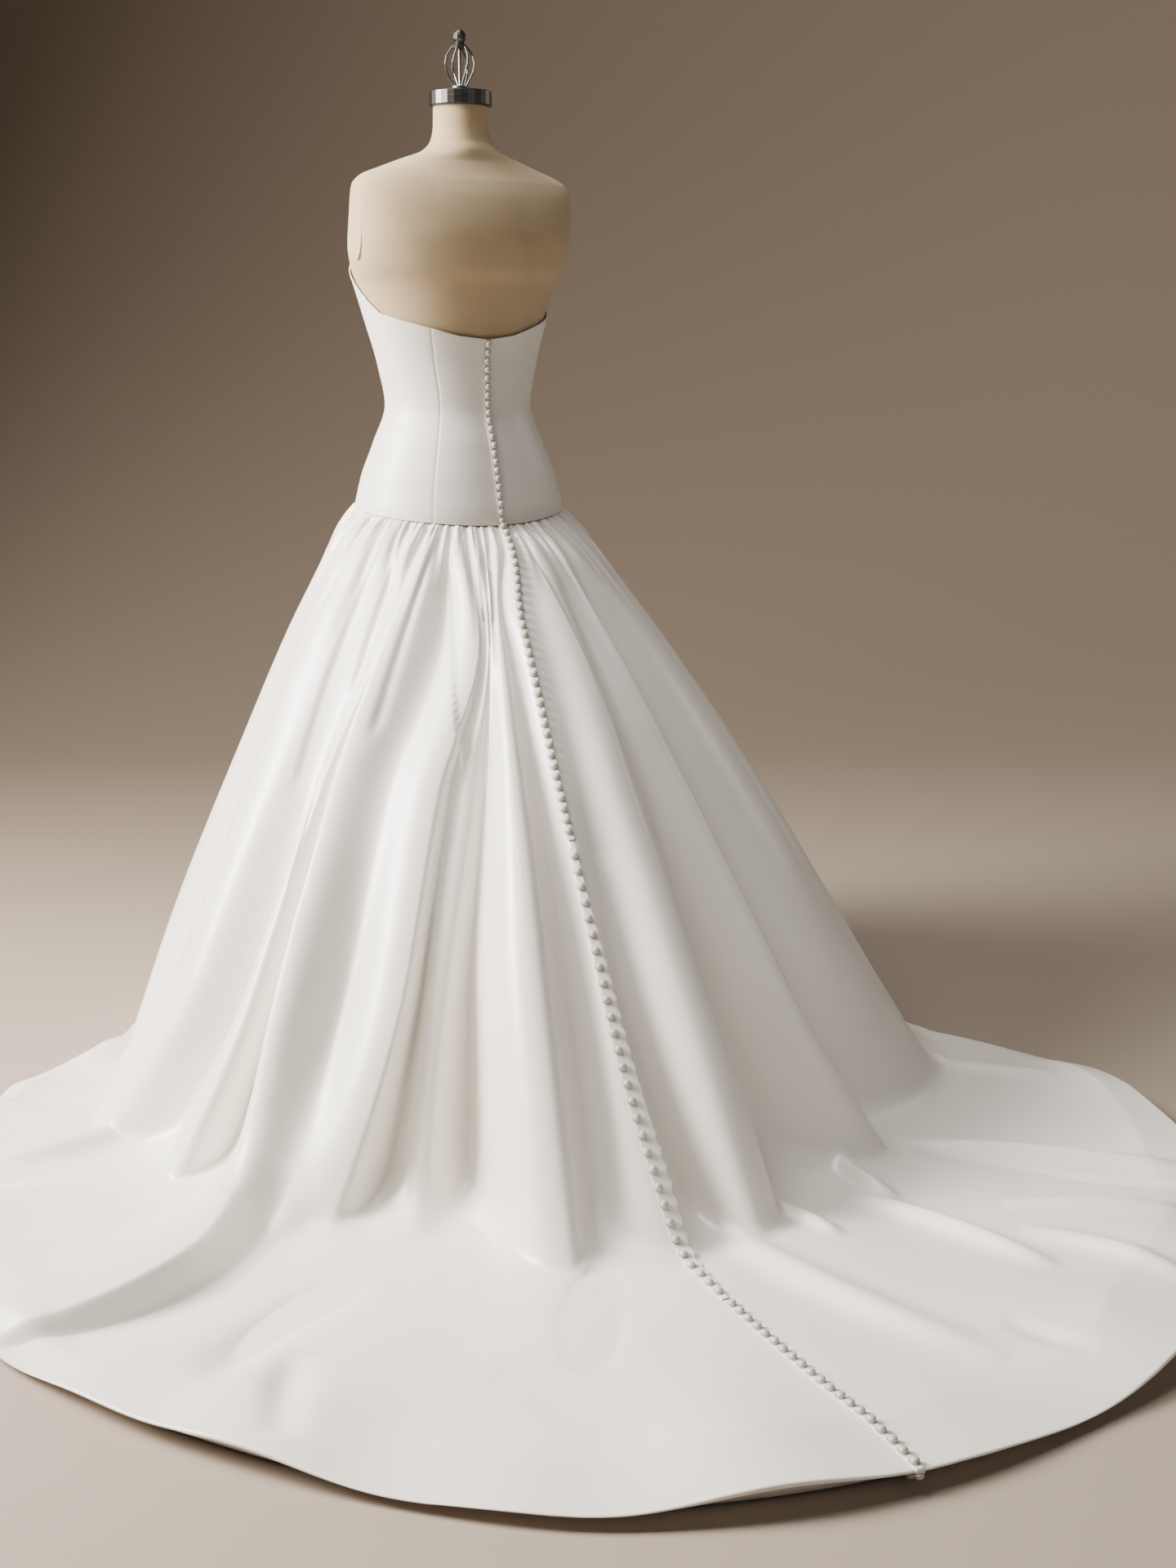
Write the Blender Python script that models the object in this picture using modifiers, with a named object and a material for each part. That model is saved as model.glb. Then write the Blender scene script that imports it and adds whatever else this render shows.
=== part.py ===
"""Wedding dress with a chapel train, shown on its dress form and stand.

Metres, +Z up. The front of the dress faces -Y, the train lies toward +Y and
the wearer's left is +X. The origin is on the floor, under the stand's pole.
"""
from collections import namedtuple
import math

import bmesh
import bpy
import numpy as np
from mathutils import Vector

OBJECT_NAME = "wedding_dress"

# Cloth and clearances
CLOTH = 0.0016            # wall of the satin with its underlining
BODICE_CLOTH = 0.0020     # boned bodice wall
SEAM_GAP = 0.0003         # clear gap at each seam
LAY_GAP = 0.0007          # clear gap under what lies on a panel
HEM_LIFT = 0.0035         # outside of the cloth above the floor

# Levels of the figure
SEAM_BACK_Z = 0.879       # hip seam at centre back
SEAM_RISE = 0.033         # how much higher the seam is at centre front
NECK_TOP_Z = 1.505
FORM_BOTTOM_Z = 0.800
ARM_CUT_X = 0.183         # the form is cut flat here, where arms would start
FORM_EASE = 0.0048        # the form's cover inside the outside of the bodice
ARM_PLATE = (0.022, 0.058, 0.0025)   # half depth, half height, thickness
ARM_PLATE_Z = 1.335

# Stand and finial
BASE_RADIUS = 0.190
BASE_HEIGHT = 0.018
POLE_RADIUS = 0.016
CAP_RADIUS = 0.0475
CAP_HEIGHT = 0.022
CAGE_HEIGHT = 0.066
CAGE_RADIUS = 0.0225
CAGE_WIRES = 6
WIRE_RADIUS = 0.0016
BALL_RADIUS = 0.0105

# Covered buttons and the strip that carries them
STRIP_HALF = 0.0065
STRIP_THICK = 0.0016
BUTTON_RADIUS = 0.0058
BUTTON_HEIGHT = 0.0046
BUTTON_SIDES = 6

# The figure: half width, half depth in front and behind, centre in Y
Section = namedtuple("Section", "z half_width front back centre")
FIGURE = (
    Section(0.800, 0.168, 0.160, 0.132, -0.022),
    Section(0.890, 0.172, 0.165, 0.137, -0.022),
    Section(0.940, 0.162, 0.158, 0.128, -0.022),
    Section(1.000, 0.139, 0.138, 0.113, -0.022),
    Section(1.060, 0.119, 0.114, 0.096, -0.022),
    Section(1.120, 0.131, 0.112, 0.096, -0.022),
    Section(1.180, 0.147, 0.130, 0.105, -0.022),
    Section(1.240, 0.163, 0.148, 0.115, -0.020),
    Section(1.300, 0.186, 0.138, 0.120, -0.012),
    Section(1.345, 0.194, 0.118, 0.112, -0.006),
    Section(1.375, 0.195, 0.098, 0.104, -0.003),
    Section(1.392, 0.192, 0.084, 0.096, 0.000),
    Section(1.402, 0.182, 0.074, 0.088, 0.000),
    Section(1.413, 0.146, 0.066, 0.078, 0.000),
    Section(1.426, 0.104, 0.058, 0.068, 0.000),
    Section(1.440, 0.068, 0.051, 0.057, 0.000),
    Section(1.455, 0.053, 0.048, 0.050, 0.000),
    Section(1.475, 0.048, 0.046, 0.047, 0.000),
    Section(1.505, 0.047, 0.046, 0.047, 0.000),
)

# Bodice top edge: height by angle from centre back
Edge = namedtuple("Edge", "angle z")
TOP_EDGE = (
    Edge(0, 1.160), Edge(20, 1.166), Edge(38, 1.178), Edge(59, 1.190),
    Edge(75, 1.199), Edge(88, 1.217), Edge(100, 1.238), Edge(115, 1.265),
    Edge(130, 1.285), Edge(150, 1.300), Edge(180, 1.283),
)

# Bodice panels by angle from centre back, between their seams
BodicePanel = namedtuple("BodicePanel", "name start end columns")
BODICE_PANELS = (
    BodicePanel("bodice_back_left", 0, 37, 5),
    BodicePanel("bodice_side_back_left", 37, 92, 6),
    BodicePanel("bodice_side_front_left", 92, 142, 6),
    BodicePanel("bodice_front", 142, 218, 9),
    BodicePanel("bodice_side_front_right", 218, 268, 6),
    BodicePanel("bodice_side_back_right", 268, 323, 6),
    BodicePanel("bodice_back_right", 323, 360, 5),
)
BODICE_ROWS = 10

# Skirt folds in order round the skirt, from the wearer's right side of centre
# front, past centre back. Angles are from +Y toward +X in degrees at the hip
# seam, at 15, 40 and 70 % of the way down, where the fold meets the floor and
# at the hem. Push moves the cloth out or in, in mm, at 15, 40 and 70 % and at
# the floor. Turn is how far the cloth needs to turn from falling to lying.
# Lift is the height that the fold keeps on the floor: at once, half way, hem.
Fold = namedtuple("Fold", "name seam a15 a40 a70 floor hem "
                          "p15 p40 p70 land turn lift0 lift1 lift2 columns")
FOLDS = (
    Fold("front_ridge", -178, -178, -178, -178, -178, -178, 4, 12, 18, 20, 20, 0, 0, 0, 2),
    Fold("front_dip_1", -166, -166, -166, -166, -166, -166, -6, -16, -20, -18, 25, 0, 0, 0, 2),
    Fold("front_ridge_1", -154, -154, -154, -154, -154, -154, 6, 14, 18, 18, 20, 0, 0, 0, 2),
    Fold("front_dip_2", -143, -143, -143, -143, -143, -143, -6, -18, -20, -18, 25, 0, 0, 0, 2),
    Fold("front_ridge_2", -131, -131, -131, -131, -131, -131, 6, 15, 20, 22, 20, 0, 0, 0, 2),
    Fold("front_dip_3", -120, -120, -120, -119, -119, -119, -6, -16, -24, -22, 25, 0, 0, 0, 2),
    Fold("right_ridge_5", -109, -109, -108, -107, -107, -106, 6, 14, 20, 20, 20, 0, 0, 0, 2),
    Fold("right_dip_5", -98, -97, -95, -94, -94, -92, -6, -14, -24, -20, 30, 0, 0, 0, 2),
    Fold("right_ridge_4", -86, -84, -81, -79, -80, -78, 4, 10, 14, 14, 20, 0, 0, 0, 2),
    Fold("right_dip_4", -74, -71, -67, -64, -66, -66, -2, -5, -8, -12, 30, 2, 2, 0, 2),
    Fold("right_ridge_3", -65, -60, -56, -52, -55, -55, 3, 6, 9, 10, 35, 4, 3, 2, 2),
    Fold("right_dip_3", -58, -51, -45, -39, -48, -49, -3, -7, -12, -12, 60, 2, 4, 0, 2),
    Fold("right_ridge_2", -52, -45, -40, -34.5, -43.5, -44, 4, 8, 12, 14, 35, 4, 10, 4, 3),
    Fold("right_dip_2", -34, -23.5, -20, -19, -24, -31, -3, -9, -20, -35, 60, 4, 2, 0, 2),
    Fold("right_edge", -28, -19.8, -16.2, -15.6, -20, -27, 5, 12, 20, 18, 15, 6, 8, 2, 3),
    Fold("right_dip_1", -20, -13.5, -8.5, -6.8, -7, -13, -6, -13, -30, -110, 80, 4, 0, 0, 2),
    Fold("right_tube", -14, -6, -0.6, 0.7, 1.2, -6, 6, 14, 22, 18, 14, 8, 10, 3, 2),
    Fold("back_dip", -6, 5.5, 7.3, 8.8, 6.0, 2, -2, -5, -14, -85, 80, 4, 0, 0, 2),
    Fold("centre_back", 0, 10.4, 11.5, 11.4, 9.7, 8.1, -1, -1, -2, -4, 30, 6, 4, 4, 2),
    Fold("left_dip_1", 7, 15.2, 14.8, 15.0, 16.0, 17, -9, -18, -26, -50, 60, 2, 0, 0, 2),
    Fold("left_tube", 12, 18.0, 20.0, 20.5, 20.1, 25, 0, 6, 18, 22, 12, 3, 0, 0, 2),
    Fold("left_dip_2", 17, 20.2, 24.0, 27.8, 28.4, 33, 3, -9, -12, -200, 110, 0, 0, 0, 2),
    Fold("left_blade_1", 21, 21.4, 29.0, 33.0, 34.9, 38, 6, 3, 8, -58, 40, 2, 0, 0, 2),
    Fold("left_dip_3", 25, 22.6, 31.5, 35.0, 38.5, 41, 8, 4, -2, -110, 50, 2, 0, 0, 2),
    Fold("left_blade_2", 29, 24.2, 34.1, 37.4, 43.5, 45, 10, 12, 18, 2, 30, 3, 2, 0, 3),
    Fold("left_dip_4", 39, 35.9, 44.4, 46.2, 48.2, 57.0, -9, -9, -28, 10, 60, 4, 0, 0, 2),
    Fold("left_lap", 49, 51.3, 54.2, 53.5, 52.6, 58.4, 6, 16, 28, 10, 140, 30, 44, 4, 2),
    Fold("left_dip_5", 55, 53.6, 56.4, 56.6, 60.0, 65, 1, 0, 0, -70, 70, 12, 10, 2, 2),
    Fold("left_ridge_2", 60, 55.6, 59.0, 59.8, 65.0, 70, 0, 7, 14, 2, 20, 6, 6, 2, 2),
    Fold("left_dip_6", 67, 60.5, 63.4, 64.4, 72.5, 77, -8, -13, -24, -70, 50, 2, 0, 2, 3),
    Fold("left_ridge_1", 88, 84, 77, 76.2, 85, 88, 3, 10, 16, 26, 16, 3, 10, 2, 2),
    Fold("left_dip_7", 99, 96, 90, 90, 96.5, 99, -2, -5, -10, -30, 60, 0, 0, 4, 2),
    Fold("left_wing", 108, 107, 104, 104, 107, 107, 3, 6, 12, 10, 20, 6, 15, 16, 2),
    Fold("side_dip", 119, 118, 118, 118, 119, 119, -5, -12, -20, -14, 25, 0, 0, 0, 2),
    Fold("front_ridge_3", 130, 130, 130, 130, 130, 130, 6, 14, 20, 18, 20, 0, 0, 0, 2),
    Fold("front_dip_4", 142, 142, 142, 142, 142, 142, -6, -16, -22, -18, 25, 0, 0, 0, 2),
    Fold("front_ridge_4", 154, 154, 154, 154, 154, 154, 6, 15, 19, 18, 20, 0, 0, 0, 2),
    Fold("front_dip_5", 168, 168, 168, 168, 168, 168, -6, -16, -21, -18, 25, 0, 0, 0, 2),
)

# Folds that bow on the floor between where they land and the hem, in degrees
Bow = namedtuple("Bow", "name turn")
BOWS = (Bow("left_dip_4", -4.0), Bow("left_lap", -4.6))

# Hem outline on the floor, and where the bell of the skirt would meet it
Ray = namedtuple("Ray", "angle radius")
HEM_OUTLINE = (
    Ray(-180, 0.585), Ray(-150, 0.590), Ray(-120, 0.605), Ray(-100, 0.625),
    Ray(-80, 0.660), Ray(-68, 0.700), Ray(-58, 0.760), Ray(-49, 0.980),
    Ray(-37, 1.170), Ray(-22, 1.325), Ray(-8, 1.400), Ray(8, 1.405),
    Ray(23, 1.375), Ray(38, 1.280), Ray(55, 1.178), Ray(66, 1.110),
    Ray(78, 1.020), Ray(90, 0.880), Ray(98.8, 0.777), Ray(105, 0.670),
    Ray(114, 0.610), Ray(128, 0.585), Ray(150, 0.585), Ray(180, 0.585),
)
BELL_OUTLINE = (
    Ray(-180, 0.550), Ray(-150, 0.560), Ray(-120, 0.580), Ray(-90, 0.630),
    Ray(-70, 0.680), Ray(-58, 0.720), Ray(-48, 0.780), Ray(-20, 0.800),
    Ray(-5, 0.830), Ray(1, 0.860), Ray(9, 0.880), Ray(20, 0.840),
    Ray(35, 0.740), Ray(44, 0.745), Ray(55, 0.745), Ray(65, 0.720),
    Ray(84, 0.660), Ray(105, 0.585), Ray(122, 0.555), Ray(150, 0.550),
    Ray(180, 0.550),
)
OUTLINE_SOFTNESS = 6.0    # degrees over which an outline's corners round off
BELL_POWER = 0.80         # how round the bell falls from the hips
BELL_START = 0.01
LAND_POWER = 2.6          # how late a fold moves to where it meets the floor
RIM_RISE = 0.017          # how high the train's border stands off the floor
RIM_DROP = 0.014          # cloth that rolls down at the hem
RIM_WIDE = 0.0075         # how far the rolled hem reaches out

# Gathers at the hip seam: one for each column of cloth
GATHER_DEPTH = 0.0022
GATHER_LEVELS = (0.0, 0.015, 0.045)
GATHER_SHARE = (0.35, 1.0, 0.8)

# Rows of the skirt: 0 is the hip seam, 1 the floor and 2 the hem
FALL_ROWS = (0.09, 0.16, 0.25, 0.35, 0.46, 0.57, 0.68, 0.78, 0.87, 0.94, 1.0)
FLOOR_ROWS = (1.09, 1.22, 1.40, 1.60, 1.80, 0.0, 2.0)
EDGE_ROW = 5              # the floor row that sits where the hem turns down

SkirtPanel = namedtuple("SkirtPanel", "name start end on_floor")
SKIRT_PANELS = (
    SkirtPanel("skirt_front", "side_dip", "right_dip_4", False),
    SkirtPanel("skirt_side_right", "right_dip_4", "right_dip_2", True),
    SkirtPanel("train_right", "right_dip_2", "centre_back", True),
    SkirtPanel("train_left", "centre_back", "left_dip_4", True),
    SkirtPanel("skirt_side_left", "left_dip_4", "side_dip", True),
)

# Stretches of the button strip on the skirt: first and last row
Stretch = namedtuple("Stretch", "name first last pitch")
STRIP_STRETCHES = (
    Stretch("placket_upper_skirt", 0, 7, 0.0172),
    Stretch("placket_lower_skirt", 7, 14, 0.0236),
    Stretch("placket_train", 14, 20, 0.0200),
)
BODICE_PITCH = 0.0130


def clear_scene():
    """Start from nothing, whatever the file held."""
    for item in list(bpy.data.objects):
        bpy.data.objects.remove(item, do_unlink=True)


def new_collection(name):
    made = bpy.data.collections.new(name)
    bpy.context.scene.collection.children.link(made)
    return made


def new_material(name, colour, roughness, metallic=0.0):
    made = bpy.data.materials.new(name)
    made.use_nodes = True
    shader = made.node_tree.nodes["Principled BSDF"]
    shader.inputs["Base Color"].default_value = (*colour, 1.0)
    shader.inputs["Roughness"].default_value = roughness
    shader.inputs["Metallic"].default_value = metallic
    return made


# Curves through table columns

def column(rows, name):
    """One named column of a table, as an array."""
    return np.array([getattr(row, name) for row in rows], float)


def smooth_curve(knots, values, place):
    """Monotone cubic through values (rows, knots), read at one place."""
    knots = np.asarray(knots, float)
    step = np.diff(knots)
    slope = np.diff(values, axis=1) / step
    tangent = np.zeros_like(values)
    rising = slope[:, 1:] * slope[:, :-1] > 0
    near = 2 * step[1:] + step[:-1]
    far = step[1:] + 2 * step[:-1]
    safe_low = np.where(rising, slope[:, :-1], 1.0)
    safe_high = np.where(rising, slope[:, 1:], 1.0)
    mean = (near + far) / (near / safe_low + far / safe_high)
    tangent[:, 1:-1] = np.where(rising, mean, 0.0)
    tangent[:, 0] = slope[:, 0]
    tangent[:, -1] = slope[:, -1]
    spot = int(np.clip(np.searchsorted(knots, place) - 1, 0, len(knots) - 2))
    share = (place - knots[spot]) / step[spot]
    low = values[:, spot]
    high = values[:, spot + 1]
    ease = share * share * (3 - 2 * share)
    curve = low * (1 - ease) + high * ease
    curve += tangent[:, spot] * step[spot] * share * (1 - share) ** 2
    curve -= tangent[:, spot + 1] * step[spot] * share ** 2 * (1 - share)
    return curve


def outline_radius(table, angle):
    """Radius of a closed outline at an angle, with its corners rounded."""
    angle = np.asarray(angle, float)
    angles = column(table, "angle")
    radii = column(table, "radius")
    total = np.zeros_like(angle)
    weights = 0.0
    for turn in np.linspace(-1.0, 1.0, 9):
        weight = math.cos(turn * math.pi / 2) ** 2 + 0.02
        spot = (angle + turn * OUTLINE_SOFTNESS + 180) % 360 - 180
        total = total + weight * np.interp(spot, angles, radii)
        weights += weight
    return total / weights


def figure_at(z):
    """Half width, front, back and centre of the figure at heights z."""
    levels = column(FIGURE, "z")
    sizes = np.array([row[1:] for row in FIGURE]).T
    flat = np.atleast_1d(z)
    found = np.array([smooth_curve(levels, sizes, min(max(v, levels[0]), levels[-1]))
                      for v in flat])
    return found.T


def figure_point(angle, z, out=0.0):
    """Point on the figure, moved out by a distance; angle from centre back."""
    half_width, front, back, centre = figure_at(z)[:, 0]
    turn = math.radians(angle)
    sine = math.sin(turn)
    cosine = math.cos(turn)
    depth = back if cosine >= 0 else front
    x = half_width * sine
    y = centre + depth * cosine
    normal = Vector((sine / half_width, cosine / depth, 0)).normalized()
    limit = ARM_CUT_X + out
    x = x + normal.x * out
    y = y + normal.y * out
    return Vector((max(-limit, min(limit, x)), y, z))


# The skirt and train

def seam_height(angle):
    """Height of the hip seam, which climbs from centre back to front."""
    return SEAM_BACK_Z + SEAM_RISE * (1 - np.cos(np.radians(angle))) / 2


def seam_radius(angle):
    """Distance from the axis to the hip seam, at an angle from +Y."""
    half_width, front, back, centre = figure_at(0.89)[:, 0]
    sine = np.sin(np.radians(angle))
    cosine = np.cos(np.radians(angle))
    depth = np.where(cosine >= 0, back, front)
    square = (sine / half_width) ** 2 + (cosine / depth) ** 2
    middle = -2 * cosine * centre / depth ** 2
    rest = (centre / depth) ** 2 - 1
    return (-middle + np.sqrt(middle ** 2 - 4 * square * rest)) / (2 * square)


def bell(fall):
    """Share of the flare that is reached at a share of the fall."""
    top = (fall + BELL_START) ** BELL_POWER - BELL_START ** BELL_POWER
    return top / ((1 + BELL_START) ** BELL_POWER - BELL_START ** BELL_POWER)


class SkirtSurface:
    """Outside of the skirt and train, from the fold table.

    A place is given by a fold coordinate, which is whole on each fold of the
    table, and by a row from 0 at the hip seam, past 1 at the floor, to 2 at
    the hem.
    """

    LEVELS = (0.0, 0.15, 0.40, 0.70, 1.0)

    def __init__(self):
        names = ("seam", "a15", "a40", "a70", "floor")
        self.angles = np.array([column(FOLDS, name) for name in names]).T
        pushes = [column(FOLDS, name) / 1000 for name in ("p15", "p40", "p70")]
        still = np.zeros(len(FOLDS))
        self.pushes = np.array([still, *pushes, still]).T
        self.floor = column(FOLDS, "floor")
        self.hem = column(FOLDS, "hem")
        turns = {row.name: row.turn for row in BOWS}
        self.bow = np.array([turns.get(row.name, 0.0) for row in FOLDS])
        self.land = column(FOLDS, "land") / 1000
        self.turn = column(FOLDS, "turn") / 1000
        self.lifts = [column(FOLDS, name) / 1000 for name in ("lift0", "lift1", "lift2")]

    def blend(self, values, fold, angle=False):
        """Value between folds: even for angles, eased for shapes."""
        count = len(FOLDS)
        low = np.floor(fold).astype(int)
        share = fold - low
        high = (low + 1) % count
        low = low % count
        if angle:
            wrap = np.where(high == 0, 360.0, 0.0)
            return values[low] * (1 - share) + (values[high] + wrap) * share
        ease = 0.5 - 0.5 * np.cos(np.pi * share)
        return values[low] * (1 - ease) + values[high] * ease

    def landing(self, fold):
        """Radius at which each fold would meet the floor."""
        angle = self.blend(self.floor, fold, angle=True)
        return outline_radius(BELL_OUTLINE, angle) + self.blend(self.land, fold)

    def edge_row(self, fold):
        """Row where the hem starts to turn down."""
        length = self.floor_length(fold)
        return 2.0 - RIM_DROP / np.maximum(length, 2 * RIM_DROP)

    def floor_length(self, fold):
        land = self.landing(fold)
        angle = self.blend(self.hem, fold, angle=True)
        return np.maximum(outline_radius(HEM_OUTLINE, angle), land + 0.012) - land

    def row(self, fold, row):
        """Points at fold coordinates, on one row or on one row each."""
        fold = np.asarray(fold, float)
        rows = np.broadcast_to(np.asarray(row, float), fold.shape)
        points = np.zeros((len(fold), 3))
        for value in np.unique(rows):
            here = rows == value
            points[here] = self.one_row(fold[here], value)
        return points

    def one_row(self, fold, row):
        fall = min(row, 1.0)
        along = max(row - 1.0, 0.0)
        if along == 0:
            angles = smooth_curve(self.LEVELS, self.angles, fall)
        else:
            angles = self.floor + (self.hem - self.floor) * along * (3 - along) / 2
            angles = angles + self.bow * math.sin(math.pi * along)
        angle = self.blend(angles, fold, angle=True)
        push = self.blend(smooth_curve(self.LEVELS, self.pushes, fall), fold)
        land = self.landing(fold)
        top_radius = seam_radius(angle)
        top_z = seam_height(angle)
        offset = self.blend(self.land, fold)
        radius = top_radius + (land - offset - top_radius) * bell(fall) + push
        radius = radius + offset * fall ** LAND_POWER
        slant = np.hypot(top_z, land - top_radius)
        spread = (land - top_radius) * BELL_POWER / slant
        length = self.floor_length(fold)
        turn = np.minimum(self.blend(self.turn, fold), length * 0.9)
        # distance from the corner where the fall would meet the floor
        run = -(1 - fall) * slant + along * length

        def eased(distance):
            middle = (distance + turn) ** 2 / (4 * turn)
            middle = np.where(distance > turn, distance, middle)
            return np.where(distance < -turn, 0.0, middle)

        radius = radius + np.maximum(run, 0) * spread + (1 - spread) * eased(run)
        height = top_z / slant * eased(-run)
        lift0, lift1, lift2 = [self.blend(values, fold) for values in self.lifts]
        lift = lift0 * max(1 - 2.2 * along, 0) ** 2
        lift = lift + lift1 * math.sin(math.pi * along ** 0.8) + lift2 * along
        reach = np.clip((length - 0.05) / 0.25, 0, 1)
        hem_angle = self.blend(self.hem, fold, angle=True)
        sway = 1 + 0.45 * np.cos(np.radians(hem_angle - 14) * 13) + 0.2 * np.sin(hem_angle * 0.53)
        lift = lift + reach * RIM_RISE * sway * min(1.25 * along, 1) ** 3
        near = np.clip(1 + run / np.maximum(turn, 0.02) / 1.5, 0, 1)
        turned = np.clip((along - 1) * length / RIM_DROP + 1, 0, 1)
        whole = np.radians(20 + 105 * np.clip(3 * reach, 0, 1))
        drop = (np.cos(turned * whole) - np.cos(whole)) / (1 - np.cos(whole))
        drop = np.where(reach > 0, drop, 1.0)
        roll = RIM_WIDE * np.sin(turned * whole) - RIM_DROP * turned
        radius = radius + np.where(reach > 0, roll, 0.0)
        height = height + near * lift * drop + HEM_LIFT * fall - SEAM_GAP * (1 - fall)
        turn_angle = np.radians(angle)
        return np.stack([radius * np.sin(turn_angle), radius * np.cos(turn_angle), height], 1)


def fold_columns(start, end):
    """Fold coordinates of a panel's columns, from one fold to another."""
    names = [fold.name for fold in FOLDS]
    first = names.index(start)
    last = names.index(end)
    if last <= first:
        last += len(FOLDS)
    coordinates = []
    for spot in range(first, last):
        count = FOLDS[spot % len(FOLDS)].columns
        coordinates += [spot + step / count for step in range(count)]
    coordinates.append(last)
    return np.array(coordinates, float)


def row_normals(grid_rows, surface_rows):
    """Outward normals of the surface by small steps along both ways."""
    normals = []
    for fold, row in surface_rows:
        step = 0.02
        low = np.maximum(row - 0.004, 0.0)
        high = np.minimum(row + 0.004, 2.0)
        down = grid_rows(fold, high) - grid_rows(fold, low)
        across = grid_rows(fold + step, row) - grid_rows(fold - step, row)
        normal = np.cross(across, down)
        normal /= np.linalg.norm(normal, axis=1)[:, None] + 1e-12
        normals.append(normal)
    return normals


def bridge(upper, lower):
    """Triangles between two rows of vertex numbers.

    The rows have the same count, or the upper one has one more vertex in the
    middle of each step of the lower one.
    """
    faces = []
    if len(upper) == len(lower):
        for i in range(len(upper) - 1):
            faces.append((upper[i], lower[i], lower[i + 1]))
            faces.append((upper[i], lower[i + 1], upper[i + 1]))
        return faces
    for i in range(len(lower) - 1):
        faces.append((upper[2 * i], lower[i], upper[2 * i + 1]))
        faces.append((upper[2 * i + 1], lower[i], lower[i + 1]))
        faces.append((upper[2 * i + 1], lower[i + 1], upper[2 * i + 2]))
    return faces


def wall_object(name, outer, inner, material, home):
    """Closed wall between two matching sets of rows of points."""
    mesh_points = []
    sheets = []
    for rows in (outer, inner):
        numbered = []
        for row in rows:
            numbered.append(list(range(len(mesh_points), len(mesh_points) + len(row))))
            mesh_points += [tuple(point) for point in row]
        sheets.append(numbered)
    front, back = sheets
    faces = []
    for upper, lower in zip(front, front[1:]):
        faces += bridge(upper, lower)
    for upper, lower in zip(back, back[1:]):
        faces += [face[::-1] for face in bridge(upper, lower)]
    faces += [face[::-1] for face in bridge(front[0], back[0])]
    faces += bridge(front[-1], back[-1])
    left = [row[0] for row in front]
    left_back = [row[0] for row in back]
    right = [row[-1] for row in front]
    right_back = [row[-1] for row in back]
    faces += bridge(left, left_back)
    faces += [face[::-1] for face in bridge(right, right_back)]
    return add_mesh(name, mesh_points, faces, material, home)


def add_mesh(name, points, faces, material, home, smooth=True):
    mesh = bpy.data.meshes.new(name)
    mesh.from_pydata([tuple(point) for point in points], [], faces)
    mesh.materials.append(material)
    made = bpy.data.objects.new(name, mesh)
    home.objects.link(made)
    work = bmesh.new()
    work.from_mesh(mesh)
    face_outward(work)
    for face in work.faces:
        face.smooth = smooth
    work.to_mesh(mesh)
    work.free()
    return made


def face_outward(work):
    """Turn the faces of a closed body so that they point out of it."""
    bmesh.ops.recalc_face_normals(work, faces=work.faces)
    if work.calc_volume(signed=True) < 0:
        bmesh.ops.reverse_faces(work, faces=work.faces)


def gap_shift(rows, side):
    """Pull a panel's side edge back by half a seam gap on every row."""
    for row in rows:
        edge, near = (0, 1) if side == "start" else (-1, -2)
        away = row[near] - row[edge]
        row[edge] = row[edge] + away / np.linalg.norm(away) * SEAM_GAP / 2


def panel_rows(surface, panel):
    """Outer and inner rows of points of one skirt panel."""
    fold = fold_columns(panel.start, panel.end)
    doubled = np.sort(np.concatenate([fold, (fold[1:] + fold[:-1]) / 2]))
    wanted = [(doubled, np.full(len(doubled), level)) for level in GATHER_LEVELS]
    wanted += [(fold, np.full(len(fold), level)) for level in FALL_ROWS]
    floor_rows = FLOOR_ROWS if panel.on_floor else (2.0,)
    for spot, level in enumerate(floor_rows):
        if panel.on_floor and spot == EDGE_ROW:
            wanted.append((fold, surface.edge_row(fold)))
        else:
            wanted.append((fold, np.full(len(fold), level)))
    outer = [surface.row(at, level) for at, level in wanted]
    normals = row_normals(surface.row, wanted)
    # the seam's own row stays level, clear of the bodice above it
    normals[0][:, 2] = 0.0
    normals[0] /= np.linalg.norm(normals[0], axis=1)[:, None]
    for share, row, normal in zip(GATHER_SHARE, outer, normals):
        wave = np.where(np.arange(len(row)) % 2 == 0, 1.0, -1.0)
        if panel.start == "centre_back":
            wave[:3] = 0.0
        if panel.end == "centre_back":
            wave[-3:] = 0.0
        level = np.stack([normal[:, 0], normal[:, 1], normal[:, 2] * 0], 1)
        row += level * (wave * share * GATHER_DEPTH)[:, None]
    strip_column(outer, panel)
    inner = [row - normal * CLOTH for row, normal in zip(outer, normals)]
    for rows in (outer, inner):
        gap_shift(rows, "start")
        gap_shift(rows, "end")
    return outer, inner, normals


def strip_column(rows, panel):
    """Put the column beside centre back right under the strip's edge."""
    for row in rows:
        doubled = len(row) == len(rows[0])
        if panel.start == "centre_back":
            set_strip_column(row, 0, 1, 2 if doubled else 1)
        if panel.end == "centre_back":
            set_strip_column(row, -1, -2, -3 if doubled else -2)


def set_strip_column(row, edge, near, far):
    away = row[far] - row[edge]
    away = away / np.linalg.norm(away)
    row[far] = row[edge] + away * STRIP_HALF
    if near != far:
        row[near] = row[edge] + away * STRIP_HALF / 2


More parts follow.
